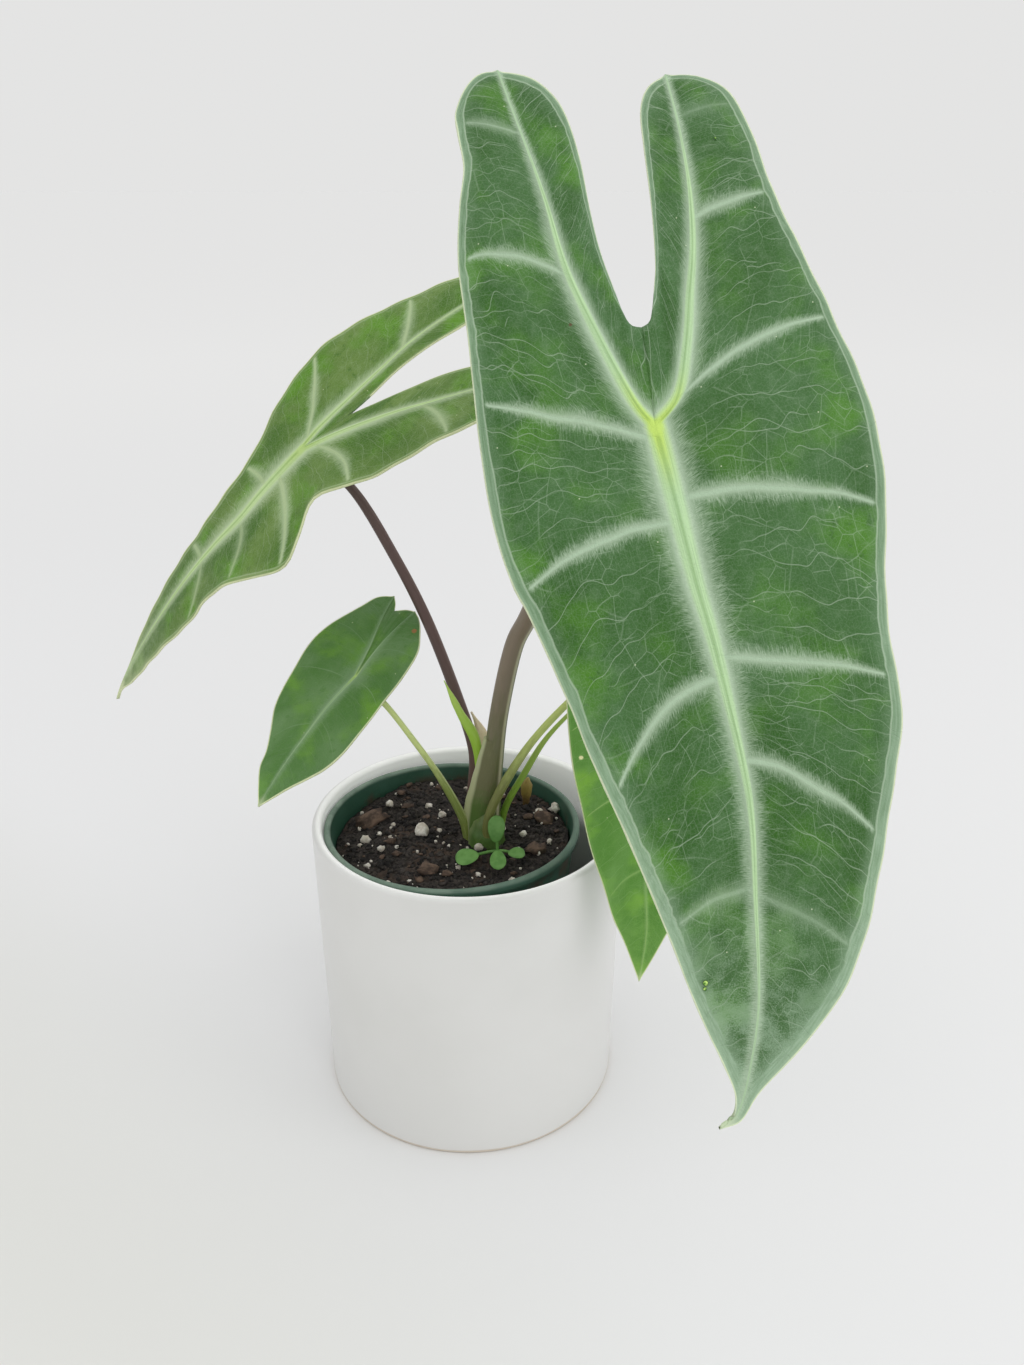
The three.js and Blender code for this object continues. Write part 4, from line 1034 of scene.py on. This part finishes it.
def stalk_mesh(path, radii, flat=1.0, sides=STALK_SIDES, step=STALK_STEP, shape=None):
    line = Line(path)
    steps = max(6, round(line.total / step))
    bm = bmesh.new()
    stem = bm.verts.layers.float_vector.new("stem")
    ring = bmesh.ops.create_circle(bm, segments=sides, radius=1.0, cap_ends=False)["verts"]
    angles = [math.atan2(v.co.y, v.co.x) for v in ring]
    ends = []
    for k in range(steps + 1):
        t = k / steps
        if k:
            edges = {e for v in ring for e in v.link_edges if e.other_vert(v) in ring}
            grown = bmesh.ops.extrude_edge_only(bm, edges=list(edges))["geom"]
            fresh = [g for g in grown if isinstance(g, bmesh.types.BMVert)]
            partner = {min(ring, key=lambda r: (r.co - f.co).length_squared): f for f in fresh}
            ring = [partner[v] for v in ring]
        centre = line.at(t)
        ahead = line.at(min(1, t + 0.01)) - line.at(max(0, t - 0.01))
        along = Vector((0, 0, 1)) if k == 0 else ahead.normalized()
        across = Vector((0, 1, 0)).cross(along).normalized()
        back = along.cross(across)
        for vert, a in zip(ring, angles):
            size = blend(radii, t) * (shape(a, t) if shape else 1)
            vert.co = (centre + across * math.cos(a) * size + back * math.sin(a) * size * flat) * MM
            vert[stem] = (math.cos(a), math.sin(a), t)
        if k in (0, steps):
            ends.append(list(ring))
    for loop_verts in ends:
        bm.faces.new(loop_verts)
    bmesh.ops.recalc_face_normals(bm, faces=bm.faces)
    return bm


# %% [markdown]
# A stalk is smooth and waxy, with fine lines along it and tiny flecks. The large one is brown-mauve
# on top and olive at the foot, with a pale stripe on its right flank. The group mixes a foot
# colour into a top colour along the stalk, adds the stripe, and breaks both up with flecks that
# are long in the stalk's direction.

# %% Stalk finish group
STALK_COLORS = ("Foot", "Head", "Stripe", "Fleck")
STALK_AMOUNTS = ("Change", "Stripe amount", "Fleck amount")
STALK_INPUTS = [("Stem", "Vector", None)]
STALK_INPUTS += [(label, "Color", (0.1, 0.1, 0.1)) for label in STALK_COLORS]
STALK_INPUTS += [(label, "Float", 0.3) for label in STALK_AMOUNTS]
STALK_INPUTS += [("Stripe side", "Float", 1.0), ("Stripe inset", "Float", 0.0)]
stalk_tree, w, stalk_in, stalk_out = new_group(
    "alocasia_stalk", STALK_INPUTS, [("Color", "Color"), ("Height", "Float")]
)
side_x, side_y, share = w.parts(stalk_in["Stem"])


def stem_noise(across, along, roughness=0.5):
    place = w.point(w.times(side_x, across), w.times(side_y, across), w.times(share, along))
    return w.noise(place, 1.0, 3, roughness)


low = w.minus(stalk_in["Change"], 0.16)
high = w.add(stalk_in["Change"], 0.16)
blotch = stem_noise(1.2, 26.0)
moved = w.add(share, w.times(w.minus(blotch, 0.5), 0.22))
stalk_color = w.mix(w.slope(moved, low, high), stalk_in["Foot"], stalk_in["Head"])
lines = stem_noise(9.0, 14.0, 0.6)
flecks = w.times(w.slope(lines, 0.48, 0.72), stalk_in["Fleck amount"])
stalk_color = w.mix(flecks, stalk_color, stalk_in["Fleck"])
sideways = w.add(w.times(side_x, stalk_in["Stripe side"]), stalk_in["Stripe inset"])
beyond = w.slope(sideways, 1.05, 1.17)
stalk_color = w.mix(w.times(beyond, 0.8), stalk_color, stalk_in["Foot"])
stripe = w.times(w.slope(sideways, 0.74, 0.97), w.minus(1.0, beyond))
stalk_color = w.mix(w.times(stripe, stalk_in["Stripe amount"]), stalk_color, stalk_in["Stripe"])
w.feed(stalk_out["Color"], stalk_color)
w.feed(stalk_out["Height"], lines)

STALK_STYLES = {
    "petiole_1": ((0.090, 0.125, 0.028), (0.232, 0.182, 0.132), (0.50, 0.47, 0.31),
        (0.25, 0.21, 0.12), 0.20, 0.9, 0.4),
    "petiole_2": ((0.130, 0.066, 0.048), (0.116, 0.069, 0.064), (0.19, 0.11, 0.09),
        (0.18, 0.12, 0.105), 0.2, 0.3, 0.4),
    "petiole_3": ((0.21, 0.27, 0.060), (0.64, 0.74, 0.28), (0.72, 0.78, 0.42),
        (0.54, 0.62, 0.28), 0.45, 0.5, 0.4),
    "petiole_4": ((0.17, 0.185, 0.050), (0.56, 0.66, 0.20), (0.62, 0.70, 0.32),
        (0.32, 0.31, 0.14), 0.36, 0.5, 0.35),
    "petiole_5": ((0.25, 0.42, 0.050), (0.37, 0.52, 0.10), (0.45, 0.58, 0.18),
        (0.36, 0.56, 0.14), 0.3, 0.3, 0.3),
    "cataphyll": ((0.36, 0.60, 0.060), (0.46, 0.66, 0.12), (0.60, 0.74, 0.28),
        (0.52, 0.70, 0.20), 0.75, 0.5, 0.4),
    "crown_sheath": ((0.085, 0.160, 0.030), (0.150, 0.148, 0.066), (0.50, 0.52, 0.30),
        (0.20, 0.20, 0.09), 0.5, 0.95, 0.4),
    "crown_base": ((0.070, 0.145, 0.026), (0.115, 0.165, 0.045), (0.24, 0.30, 0.12),
        (0.17, 0.22, 0.08), 0.75, 0.6, 0.4),
    # Painted light: the dried sheath's tan is made paler than its own, to lift the shade its face sits in
    "dried_sheath": ((0.70, 0.54, 0.32), (0.96, 0.80, 0.60), (0.70, 0.48, 0.32),
        (0.70, 0.48, 0.32), 0.5, 0.3, 0.4),
    "old_sprout": ((0.16, 0.10, 0.04), (0.36, 0.27, 0.07), (0.2, 0.1, 0.05),
        (0.22, 0.11, 0.05), 0.5, 0.2, 0.8),
}
# A stripe inset moves the stripe off the edge, and beyond it the foot's colour shows
STRIPE_PLACES = {
    "petiole_1": {"Stripe inset": 0.26},
    "crown_sheath": {"Stripe side": -1.0},
    "crown_base": {"Stripe side": -1.0},
}


def stalk_material(name):
    made, wiring, shader = new_material(name, 0.42, 0.4)
    inputs = {**dict(zip(STALK_COLORS + STALK_AMOUNTS, STALK_STYLES[name])), **STRIPE_PLACES.get(name, {})}
    inputs["Stem"] = wiring.node("ShaderNodeAttribute", attribute_name="stem").outputs["Vector"]
    skin = place_group(wiring, stalk_tree, inputs)
    wiring.feed(shader.inputs["Base Color"], skin["Color"])
    wiring.bump(shader, skin["Height"], 0.0002, 0.5)
    return made


# %% Stalks and shoots
for stalk in STALKS + SHOOTS:
    bm = stalk_mesh(stalk["path"], stalk["radii"], stalk.get("flat", 1.0))
    add_piece(stalk["name"] + "_fine", bm, [stalk_material(stalk["name"])], [stalk["name"]])
bm = stalk_mesh(CROWN_SHEATH["path"], CROWN_SHEATH["radii"], CROWN_SHEATH["flat"], 64, shape=winged)
add_piece("crown_sheath", bm, [stalk_material("crown_sheath")], [])
bm = stalk_mesh(CROWN_BASE["path"], CROWN_BASE["radii"], CROWN_BASE["flat"], 48, 1.0, ribbed)
add_piece("crown_base", bm, [stalk_material("crown_base")], [])

# %% [markdown]
# The outer pot is thrown on a wheel, so it is a spun profile: up the outside, over the soft lip,
# and down the inside. Its white glaze is satin with a very slight orange peel, and the foot shows
# a thin line of bare, warm clay where the glaze was wiped off. A thin white wall also passes some
# light to its inner side; a whiter colour and a faint glow inside the mouth are painted light that
# stands for that and lifts the shade there.

# %% Outer pot
POT_TOP_RADIUS = 60.0
POT_FOOT_RADIUS = 58.2
POT_HEIGHT = 115.5
POT_WALL = 3.7
POT_FLOOR = 5.0
LIP_HEIGHT = 1.85
SPIN_STEPS = 192
PAINTED_MOUTH_GLOW = 0.16
FOOT_ROUND = 1.1
FLOOR_ROUND = 4


def spun(profile, steps=SPIN_STEPS, centre=(0, 0)):
    bm = bmesh.new()
    verts = [bm.verts.new((x * MM, 0, z * MM)) for x, z in profile]
    edges = [bm.edges.new(pair) for pair in zip(verts, verts[1:])]
    bmesh.ops.spin(bm, geom=verts + edges, cent=(0, 0, 0), axis=(0, 0, 1), dvec=(0, 0, 0),
                   angle=2 * math.pi, steps=steps, use_merge=True)
    bmesh.ops.remove_doubles(bm, verts=bm.verts, dist=1e-6)
    bmesh.ops.recalc_face_normals(bm, faces=bm.faces)
    bmesh.ops.translate(bm, verts=bm.verts, vec=Vector((centre[0], centre[1], 0)) * MM)
    return bm


def arc(cx, cz, rx, rz, start, end, steps):
    return [
        (cx + rx * math.cos(a), cz + rz * math.sin(a))
        for a in (start + (end - start) * k / steps for k in range(steps + 1))
    ]


def rise(x0, z0, x1, z1, steps):
    return [(x0 + (x1 - x0) * k / steps, z0 + (z1 - z0) * k / steps) for k in range(1, steps)]


lip_z = POT_HEIGHT - LIP_HEIGHT
inner_top, inner_foot = POT_TOP_RADIUS - POT_WALL, POT_FOOT_RADIUS - POT_WALL
pot_profile = [(0, 0), (POT_FOOT_RADIUS - 1.6, 0)]
pot_profile += arc(POT_FOOT_RADIUS - FOOT_ROUND, FOOT_ROUND, FOOT_ROUND, FOOT_ROUND, -math.pi / 2, 0, 6)
pot_profile += rise(POT_FOOT_RADIUS, FOOT_ROUND, POT_TOP_RADIUS, lip_z, 24)
pot_profile += arc(POT_TOP_RADIUS - POT_WALL / 2, lip_z, POT_WALL / 2, LIP_HEIGHT, 0, math.pi, 14)
floor_edge = POT_FLOOR + FLOOR_ROUND
pot_profile += rise(inner_top, lip_z, inner_foot, floor_edge, 24)
pot_profile += arc(inner_foot - FLOOR_ROUND, floor_edge, FLOOR_ROUND, FLOOR_ROUND, 0, -math.pi / 2, 6)
pot_profile += [(0, POT_FLOOR)]

glaze, w, shader = new_material("white_glaze", 0.33, 0.5)
here = w.here()
spot_x, spot_y, height = w.parts(here)
orange_peel = w.noise(here, 420.0, 2)
slow = w.noise(here, 22.0, 3)
glaze_color = w.mix(w.slope(slow, 0.35, 0.7), (0.765, 0.763, 0.745), (0.795, 0.793, 0.778))
low_down = w.slope(height, 0.0, 0.11, 0.45, 0.0)
glaze_color = w.mix(low_down, glaze_color, (0.70, 0.698, 0.672))
foot_wave = w.times(w.noise(here, 30.0, 2), 0.0012)
bare = w.slope(w.minus(height, foot_wave), 0.0006, 0.0013, 1.0, 0.0)
glaze_color = w.mix(bare, glaze_color, (0.62, 0.55, 0.46))
radius = w.length(w.point(spot_x, spot_y, 0.0))
# Painted light: inside the mouth the glaze is painted whiter and given a faint glow
painted_mouth_light = w.times(w.slope(radius, 0.0574, 0.0596, 1.0, 0.0), w.slope(height, 0.09, 0.1))
glaze_color = w.mix(painted_mouth_light, glaze_color, (0.96, 0.958, 0.945))
w.feed(shader.inputs["Base Color"], glaze_color)
w.feed(shader.inputs["Emission Strength"], w.times(painted_mouth_light, PAINTED_MOUTH_GLOW))
w.feed(shader.inputs["Emission Color"], (1.0, 0.99, 0.96))
w.feed(shader.inputs["Roughness"], w.add(w.times(bare, 0.4), w.slope(slow, 0.3, 0.7, 0.30, 0.38)))
w.feed(shader.inputs["Coat Weight"], w.slope(bare, 0.0, 1.0, 0.25, 0.0))
shader.inputs["Coat Roughness"].default_value = 0.22
w.bump(shader, orange_peel, 0.00005, 0.25)
add_piece("outer_pot", spun(pot_profile), [glaze], ["cachepot"])

# %% [markdown]
# The nursery pot is blown or pressed from thin green plastic. What shows is its rolled rim, dulled
# by fine scratches, with a pale top that is partly lime dust and partly painted highlight, painted
# stronger on the left side, and a strip of smooth inner wall. It is spun like the outer pot. Its
# drain holes lie under the soil and behind the outer pot, so the model alone has them.

# %% Nursery pot
RIM_RADIUS = 49.6
NURSERY_FOOT = 37.0
NURSERY_TOP = 112.3
NURSERY_WALL = 1.3
RIM_WIDTH = 2.6
RIM_HEIGHT = 3.6
RIM_ROUND = 1.3
SHOULDER = 0.6
GAP = 0.35
NURSERY_CENTRE = (-6.2, 0)

foot_z = POT_FLOOR + GAP
floor_z, wall_foot = foot_z + NURSERY_WALL, NURSERY_FOOT - NURSERY_WALL
rim_z = NURSERY_TOP - RIM_HEIGHT
shoulder = RIM_RADIUS - RIM_WIDTH + NURSERY_WALL - SHOULDER
inner_shoulder = RIM_RADIUS - RIM_WIDTH - SHOULDER
rim_mid, rim_half = RIM_RADIUS - RIM_WIDTH / 2, RIM_WIDTH / 2
nursery_profile = [(0, foot_z), (NURSERY_FOOT - 1, foot_z)]
nursery_profile += arc(NURSERY_FOOT - 1, foot_z + 1, 1, 1, -math.pi / 2, 0, 4)
nursery_profile += rise(NURSERY_FOOT, foot_z + 1, shoulder, rim_z, 18)
nursery_profile += [(shoulder, rim_z), (RIM_RADIUS - SHOULDER, rim_z), (RIM_RADIUS - 0.1, rim_z + 0.5)]
nursery_profile += arc(rim_mid, NURSERY_TOP - RIM_ROUND, rim_half, RIM_ROUND, 0, math.pi, 10)
nursery_profile += [(inner_shoulder, rim_z)]
nursery_profile += rise(inner_shoulder, rim_z, wall_foot, floor_z, 18)
nursery_profile += [(wall_foot, floor_z), (0, floor_z)]

plastic, w, shader = new_material("green_plastic", 0.5, 0.4)
here = w.here()
spot_x, _, height = w.parts(here)
uneven = w.slope(w.noise(here, 60.0, 3), 0.35, 0.7)
plastic_color = w.mix(uneven, (0.027, 0.086, 0.054), (0.042, 0.112, 0.076))
stretched = w.node("ShaderNodeMapping", {"Vector": here, "Scale": (900.0, 900.0, 5000.0)})
scratch = w.noise(stretched.outputs[0], 1.0, 2)
# The pale top of the rim is partly lime dust and partly painted highlight, and more of it is painted on the
# left side
cloudy = w.slope(w.noise(here, 130.0, 4, 0.6), 0.3, 0.65, 0.55, 1.0)
dust_and_highlight = w.times(cloudy, w.slope(height, 0.1106, 0.1121))
lighter_left_share = w.slope(spot_x, -0.05, 0.03, 1.0, 0.55)
plastic_color = w.mix(w.times(dust_and_highlight, lighter_left_share), plastic_color, (0.24, 0.32, 0.255))
soiled = w.times(w.slope(w.noise(here, 75.0, 4, 0.65), 0.52, 0.66), w.slope(height, 0.105, 0.1105, 0.9, 0.0))
plastic_color = w.mix(soiled, plastic_color, (0.075, 0.050, 0.034))
plastic_color = w.mix(w.times(w.slope(scratch, 0.6, 0.75), 0.3), plastic_color, (0.12, 0.19, 0.16))
w.feed(shader.inputs["Base Color"], plastic_color)
w.feed(shader.inputs["Roughness"], w.slope(dust_and_highlight, 0.0, 1.0, 0.42, 0.7))
bm = spun(nursery_profile, centre=NURSERY_CENTRE)
add_piece("nursery_pot_fine", bm, [plastic], ["nursery_pot"])

# %% [markdown]
# Potting mix is a heap of crumbs, grit and bark, not a smooth disc. One spun lump fills the pot
# and has its top roughened by layers of noise. On it lie loose pieces in three sizes and colours:
# dark peat crumbs, white expanded perlite and brown bark chips. Each kind is one mesh made of many
# small deformed solids, placed at random with a fixed seed, so every run gives the same bed.

# %% Soil
SOIL_LEVEL = 106.2
SOIL_EDGE = 45.3
SOIL_BASE = 7.4
SEED = 11
random.seed(SEED)


def soil_height(x, y):
    lumps = noise.fractal(Vector((x * 0.09, y * 0.09, 3.1)), 1.0, 2.0, 4)
    grain = noise.fractal(Vector((x * 0.45, y * 0.45, 8.7)), 0.8, 2.1, 3)
    sunk = 2.6 * min(1, max(0, (-x - 24) / 22)) ** 2
    fine = noise.noise(Vector((x * 1.3, y * 1.3, 2.2)))
    return SOIL_LEVEL - 0.2 - sunk + 1.3 * lumps + 0.8 * grain + 0.35 * fine


soil_profile = [(0, SOIL_LEVEL)] + rise(0, SOIL_LEVEL, SOIL_EDGE, SOIL_LEVEL, 84)
soil_profile += [(SOIL_EDGE, SOIL_LEVEL), (SOIL_EDGE - 0.4, SOIL_LEVEL - 3)]
soil_profile += [(NURSERY_FOOT - 2, SOIL_BASE), (0, SOIL_BASE)]
bm = spun(soil_profile, 240, NURSERY_CENTRE)
for vert in bm.verts:
    if vert.co.z > (SOIL_LEVEL - 1) * MM:
        vert.co.z = soil_height(vert.co.x / MM, vert.co.y / MM) * MM
bm.normal_update()

mix_soil, w, shader = new_material("potting_mix", 0.9, 0.25)
here = w.here()
crumbly = w.noise(here, 520.0, 5, 0.65)
patch = w.noise(here, 90.0, 3)
soil_color = w.mix(w.slope(crumbly, 0.35, 0.7), (0.016, 0.014, 0.013), (0.075, 0.062, 0.055))
soil_color = w.mix(w.times(w.slope(patch, 0.5, 0.7), 0.5), soil_color, (0.11, 0.070, 0.050))
w.feed(shader.inputs["Base Color"], soil_color)
w.bump(shader, crumbly, 0.0012, 0.9)
add_piece("soil_bed", bm, [mix_soil], ["soil"])


# %% Loose pieces on the soil
STONE_SHAPES = 14
STONE_TILT = 0.35
CROWN_X = 5.5


def stone_shapes(kinds, faces, squash, roughness):
    """A few uneven stones of size 1, each a small ball pushed about by noise."""
    shapes = []
    for kind in range(kinds):
        bm = bmesh.new()
        ball = bmesh.ops.create_icosphere(bm, subdivisions=faces, radius=0.5)["verts"]
        shift = Vector((random.random(), random.random(), random.random())) * 50
        stretch = Vector((random.uniform(0.8, 1.3), random.uniform(0.7, 1.1), random.uniform(*squash)))
        for vert in ball:
            lump = noise.noise(vert.co * 3.2 + shift) + 0.5 * noise.noise(vert.co * 7.5 + shift)
            vert.co = Vector(a * b for a, b in zip(vert.co, stretch)) * (1 + roughness * lump)
        shape = bpy.data.meshes.new("stone")
        bm.to_mesh(shape)
        bm.free()
        shapes.append(shape)
    return shapes


def scatter(count, sizes, squash, roughness, faces=1, keep_off=6.0, places=(), sit=0.16):
    """Copies of those stones, turned and sized at random, each sunk a little in the soil."""
    shapes = stone_shapes(STONE_SHAPES, faces, squash, roughness)
    bm = bmesh.new()
    spots = list(places)
    while len(spots) < count:
        radius = (SOIL_EDGE - 1.5) * math.sqrt(random.random())
        angle = random.uniform(0, 2 * math.pi)
        x, y = NURSERY_CENTRE[0] + radius * math.cos(angle), NURSERY_CENTRE[1] + radius * math.sin(angle)
        if math.hypot(x - CROWN_X, y) > keep_off:
            spots.append((x, y, sizes[0] + (sizes[1] - sizes[0]) * random.random() ** 2.2))
    for x, y, size in spots:
        stone = random.choice(shapes).copy()
        place = Vector((x, y, soil_height(x, y) + size * sit)) * MM
        tilts = [random.uniform(-STONE_TILT, STONE_TILT) for axis in range(2)]
        turn = Euler((*tilts, random.uniform(0, 6.28)))
        stone.transform(Matrix.LocRotScale(place, turn, Vector((size, size, size)) * MM))
        bm.from_mesh(stone)
        bpy.data.meshes.remove(stone)
    for shape in shapes:
        bpy.data.meshes.remove(shape)
    return bm


stone_tree, w, stone_in, stone_out = new_group(
    "loose_stone",
    [("Place", "Vector", None), ("Dark", "Color", (0.1, 0.1, 0.1)), ("Light", "Color", (0.5, 0.5, 0.5)),
     ("Scale", "Float", 100.0)],
    [("Color", "Color"), ("Height", "Float")],
)
stone_grain = w.noise(stone_in["Place"], stone_in["Scale"], 4, 0.6)
w.feed(stone_out["Color"], w.mix(w.slope(stone_grain, 0.35, 0.68), stone_in["Dark"], stone_in["Light"]))
w.feed(stone_out["Height"], stone_grain)


def stone_material(name, light, dark, roughness, scale):
    made, wiring, shader = new_material(name, roughness, 0.3)
    inputs = {"Place": wiring.here(), "Dark": dark, "Light": light, "Scale": scale}
    skin = place_group(wiring, stone_tree, inputs)
    wiring.feed(shader.inputs["Base Color"], skin["Color"])
    wiring.bump(shader, skin["Height"], 0.0005, 0.7)
    return made


CRUMBS = stone_material("peat_crumb", (0.066, 0.055, 0.049), (0.014, 0.013, 0.013), 0.95, 150.0)
PERLITE = stone_material("perlite", (0.84, 0.80, 0.73), (0.55, 0.49, 0.41), 0.85, 420.0)
BARK = stone_material("bark_chip", (0.16, 0.105, 0.075), (0.060, 0.040, 0.030), 0.85, 330.0)
BIG_PERLITE = [(-18.5, 0.8, 5.6), (-11, 14.5, 3.6), (-17, 21.5, 2.8), (-37, 15, 3.2), (-33, 22, 3.0),
               (4.6, -12.5, 3.8), (28, 15, 3.8), (34.5, 18.5, 4.4), (21.5, -0.5, 3.0), (-40, -3, 3.4),
               (17, -34, 3.2), (31.5, -6, 2.6), (-33, -11, 2.8), (-37, -22, 2.2), (13.5, 3, 2.2)]
BIG_BARK = [(-39.8, 10.6, 11), (-14, -27, 10), (26.6, -12.5, 8), (30, 12, 7)]
bm = scatter(3600, (0.3, 2.7), (0.35, 0.75), 1.0, sit=0.06)
add_piece("peat_crumbs", bm, [CRUMBS], [])
bm = scatter(120, (0.5, 2.2), (0.8, 1.1), 0.55, 2, places=BIG_PERLITE, sit=0.3)
add_piece("perlite_grit", bm, [PERLITE], [])
bm = scatter(70, (1.4, 5.0), (0.25, 0.5), 0.6, 2, 8.0, BIG_BARK)
add_piece("bark_chips", bm, [BARK], [])

# %% [markdown]
# A small seedling grows against the crown: four round, juicy leaves on short stalks. Each leaf is
# a pressed ball with a fold down its middle, joined to its stalk in one mesh.

# %% Seedling
SEEDLING_FOOT = (11.6, -16.8, 103)
SEEDLING_CLEAR = 108.6
SEEDLING_THICKNESS = 0.42
SEEDLING_FOLD, SEEDLING_NOD = 0.35, 0.12
# Each leaf: its middle, the way its face looks, the way it points, its length and its width
SEEDLING_LEAVES = [
    ((11.2, -15.4, 117.4), (0, -0.93, 0.36), (0.05, 0.36, 0.93), 10.4, 6.4),
    ((0.4, -23.6, 110.3), (-0.1, -0.3, 0.95), (-1, -0.15, -0.05), 8.8, 8),
    ((11.9, -26.2, 110.7), (0, -0.4, 0.9), (0.05, -0.9, -0.4), 8.6, 6),
    ((18.8, -20.8, 110.2), (0.1, -0.4, 0.9), (1, 0.1, 0), 6.4, 5),
]


def seedling_leaf(bm, middle, stand, along, length, width):
    up = Vector(stand).normalized()
    ey = (Vector(along) - up * Vector(along).dot(up)).normalized()
    ex = ey.cross(up)
    ball = bmesh.ops.create_uvsphere(bm, u_segments=24, v_segments=14, radius=1.0)["verts"]
    for vert in ball:
        x, y, z = vert.co
        x *= 1 + 0.2 * y
        z = z * SEEDLING_THICKNESS + (SEEDLING_FOLD * abs(x) - SEEDLING_NOD * y * y)
        vert.co = (Vector(middle) + ex * x * width / 2 + ey * y * length / 2 + up * z) * MM


bm = bmesh.new()
clear = (SEEDLING_FOOT[0], SEEDLING_FOOT[1], SEEDLING_CLEAR)
for middle, stand, along, length, width in SEEDLING_LEAVES:
    seedling_leaf(bm, middle, stand, along, length, width)
    twig = stalk_mesh([SEEDLING_FOOT, clear, middle], [0.7, 0.56], sides=10, step=1.0)
    twig_mesh = bpy.data.meshes.new("twig")
    twig.to_mesh(twig_mesh)
    twig.free()
    bm.from_mesh(twig_mesh)
    bpy.data.meshes.remove(twig_mesh)
young, w, shader = new_material("seedling_green", 0.45, 0.4)
here = w.here()
young_color = w.mix(w.slope(w.noise(here, 300.0, 3), 0.35, 0.7), (0.092, 0.240, 0.046), (0.150, 0.325, 0.080))
w.feed(shader.inputs["Base Color"], young_color)
add_piece("seedling_fine", bm, [young], ["seedling"])

# %% [markdown]
# Two drops of water sit on the large blade near its tip, and one on its right lobe. A drop is a
# flattened ball that sinks a little into the blade. Such a small drop gathers the bright green
# behind it into its middle and shows a dark edge; both are painted into its colour as a painted
# refraction, which goes from the one to the other as the surface turns from the view.

# %% Water drops
DROP_LIFT = 1.1
DROP_FLATTENING = 0.35
DROPS = [((6.3, 132.7), 1.35), ((6.6, 134.1), 0.95), ((-26.8, -72.9), 0.7)]
water, w, shader = new_material("water", 0.04, 0.5)
# Painted refraction: a bright green middle and a dark edge, chosen by how squarely the drop faces the view
facing = w.node("ShaderNodeLayerWeight", {"Blend": 0.5}).outputs["Facing"]
wet = w.noise(w.here(), 900.0, 2)
painted_refraction = w.mix(w.slope(wet, 0.4, 0.6), (0.06, 0.22, 0.015), (0.60, 0.85, 0.20))
w.feed(shader.inputs["Base Color"], w.mix(w.slope(facing, 0.15, 0.5), painted_refraction, (0.012, 0.045, 0.006)))
bm = bmesh.new()
axes = leaf_axes(LARGE_LEAF)
for (x, y), size in DROPS:
    drop = bmesh.ops.create_icosphere(bm, subdivisions=3, radius=size / 2 * MM)["verts"]
    at = place_on_leaf(LARGE_LEAF, axes, x, y, DROP_LIFT)
    for vert in drop:
        depth = vert.co.dot(axes[2])
        vert.co += axes[2] * (-DROP_FLATTENING * depth)
    bmesh.ops.translate(bm, verts=drop, vec=at)
add_piece("water_drops", bm, [water], [])

# %% [markdown]
# The corm and its roots are under the soil and never show, so the model's own solid stays and
# only gets a brown, corky skin. The floor is the last thing, because it isn't part of the plant.

# %% Corm and floor
cork, w, shader = new_material("corm_skin", 0.85, 0.3)
here = w.here()
w.feed(shader.inputs["Base Color"], w.mix(w.noise(here, 250.0, 4), (0.10, 0.06, 0.035), (0.32, 0.22, 0.13)))
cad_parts["corm"].data.materials.clear()
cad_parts["corm"].data.materials.append(cork)

floor_bm = bmesh.new()
bmesh.ops.create_grid(floor_bm, x_segments=2, y_segments=2, size=FLOOR_SIZE / 2)
floor_mesh = bpy.data.meshes.new("floor")
floor_bm.to_mesh(floor_mesh)
floor_bm.free()
paper, w, shader = new_material("floor_paper", 1.0, 0.0)
here = w.here()
tone = w.noise(here, 1.3, 2)
# Painted shade: the floor is darker near the pot and darker and warmer towards its front left, fading to the
# plain colour further out
beyond_floor_shade = w.slope(w.length(here), 0.3, 2.4)
to_corner = w.add(*w.parts(here)[:2])
painted_floor_shade = w.mix(w.slope(to_corner, -0.03, -0.27), SHADED_NEAR_FLOOR, SHADED_CORNER_FLOOR)
mottled = w.mix(w.times(tone, 0.1), painted_floor_shade, SHADED_CORNER_FLOOR)
w.feed(shader.inputs["Base Color"], w.mix(beyond_floor_shade, mottled, FLOOR_COLOR))
floor_mesh.materials.append(paper)
floor = bpy.data.objects.new("floor", floor_mesh)
bpy.context.scene.collection.objects.link(floor)
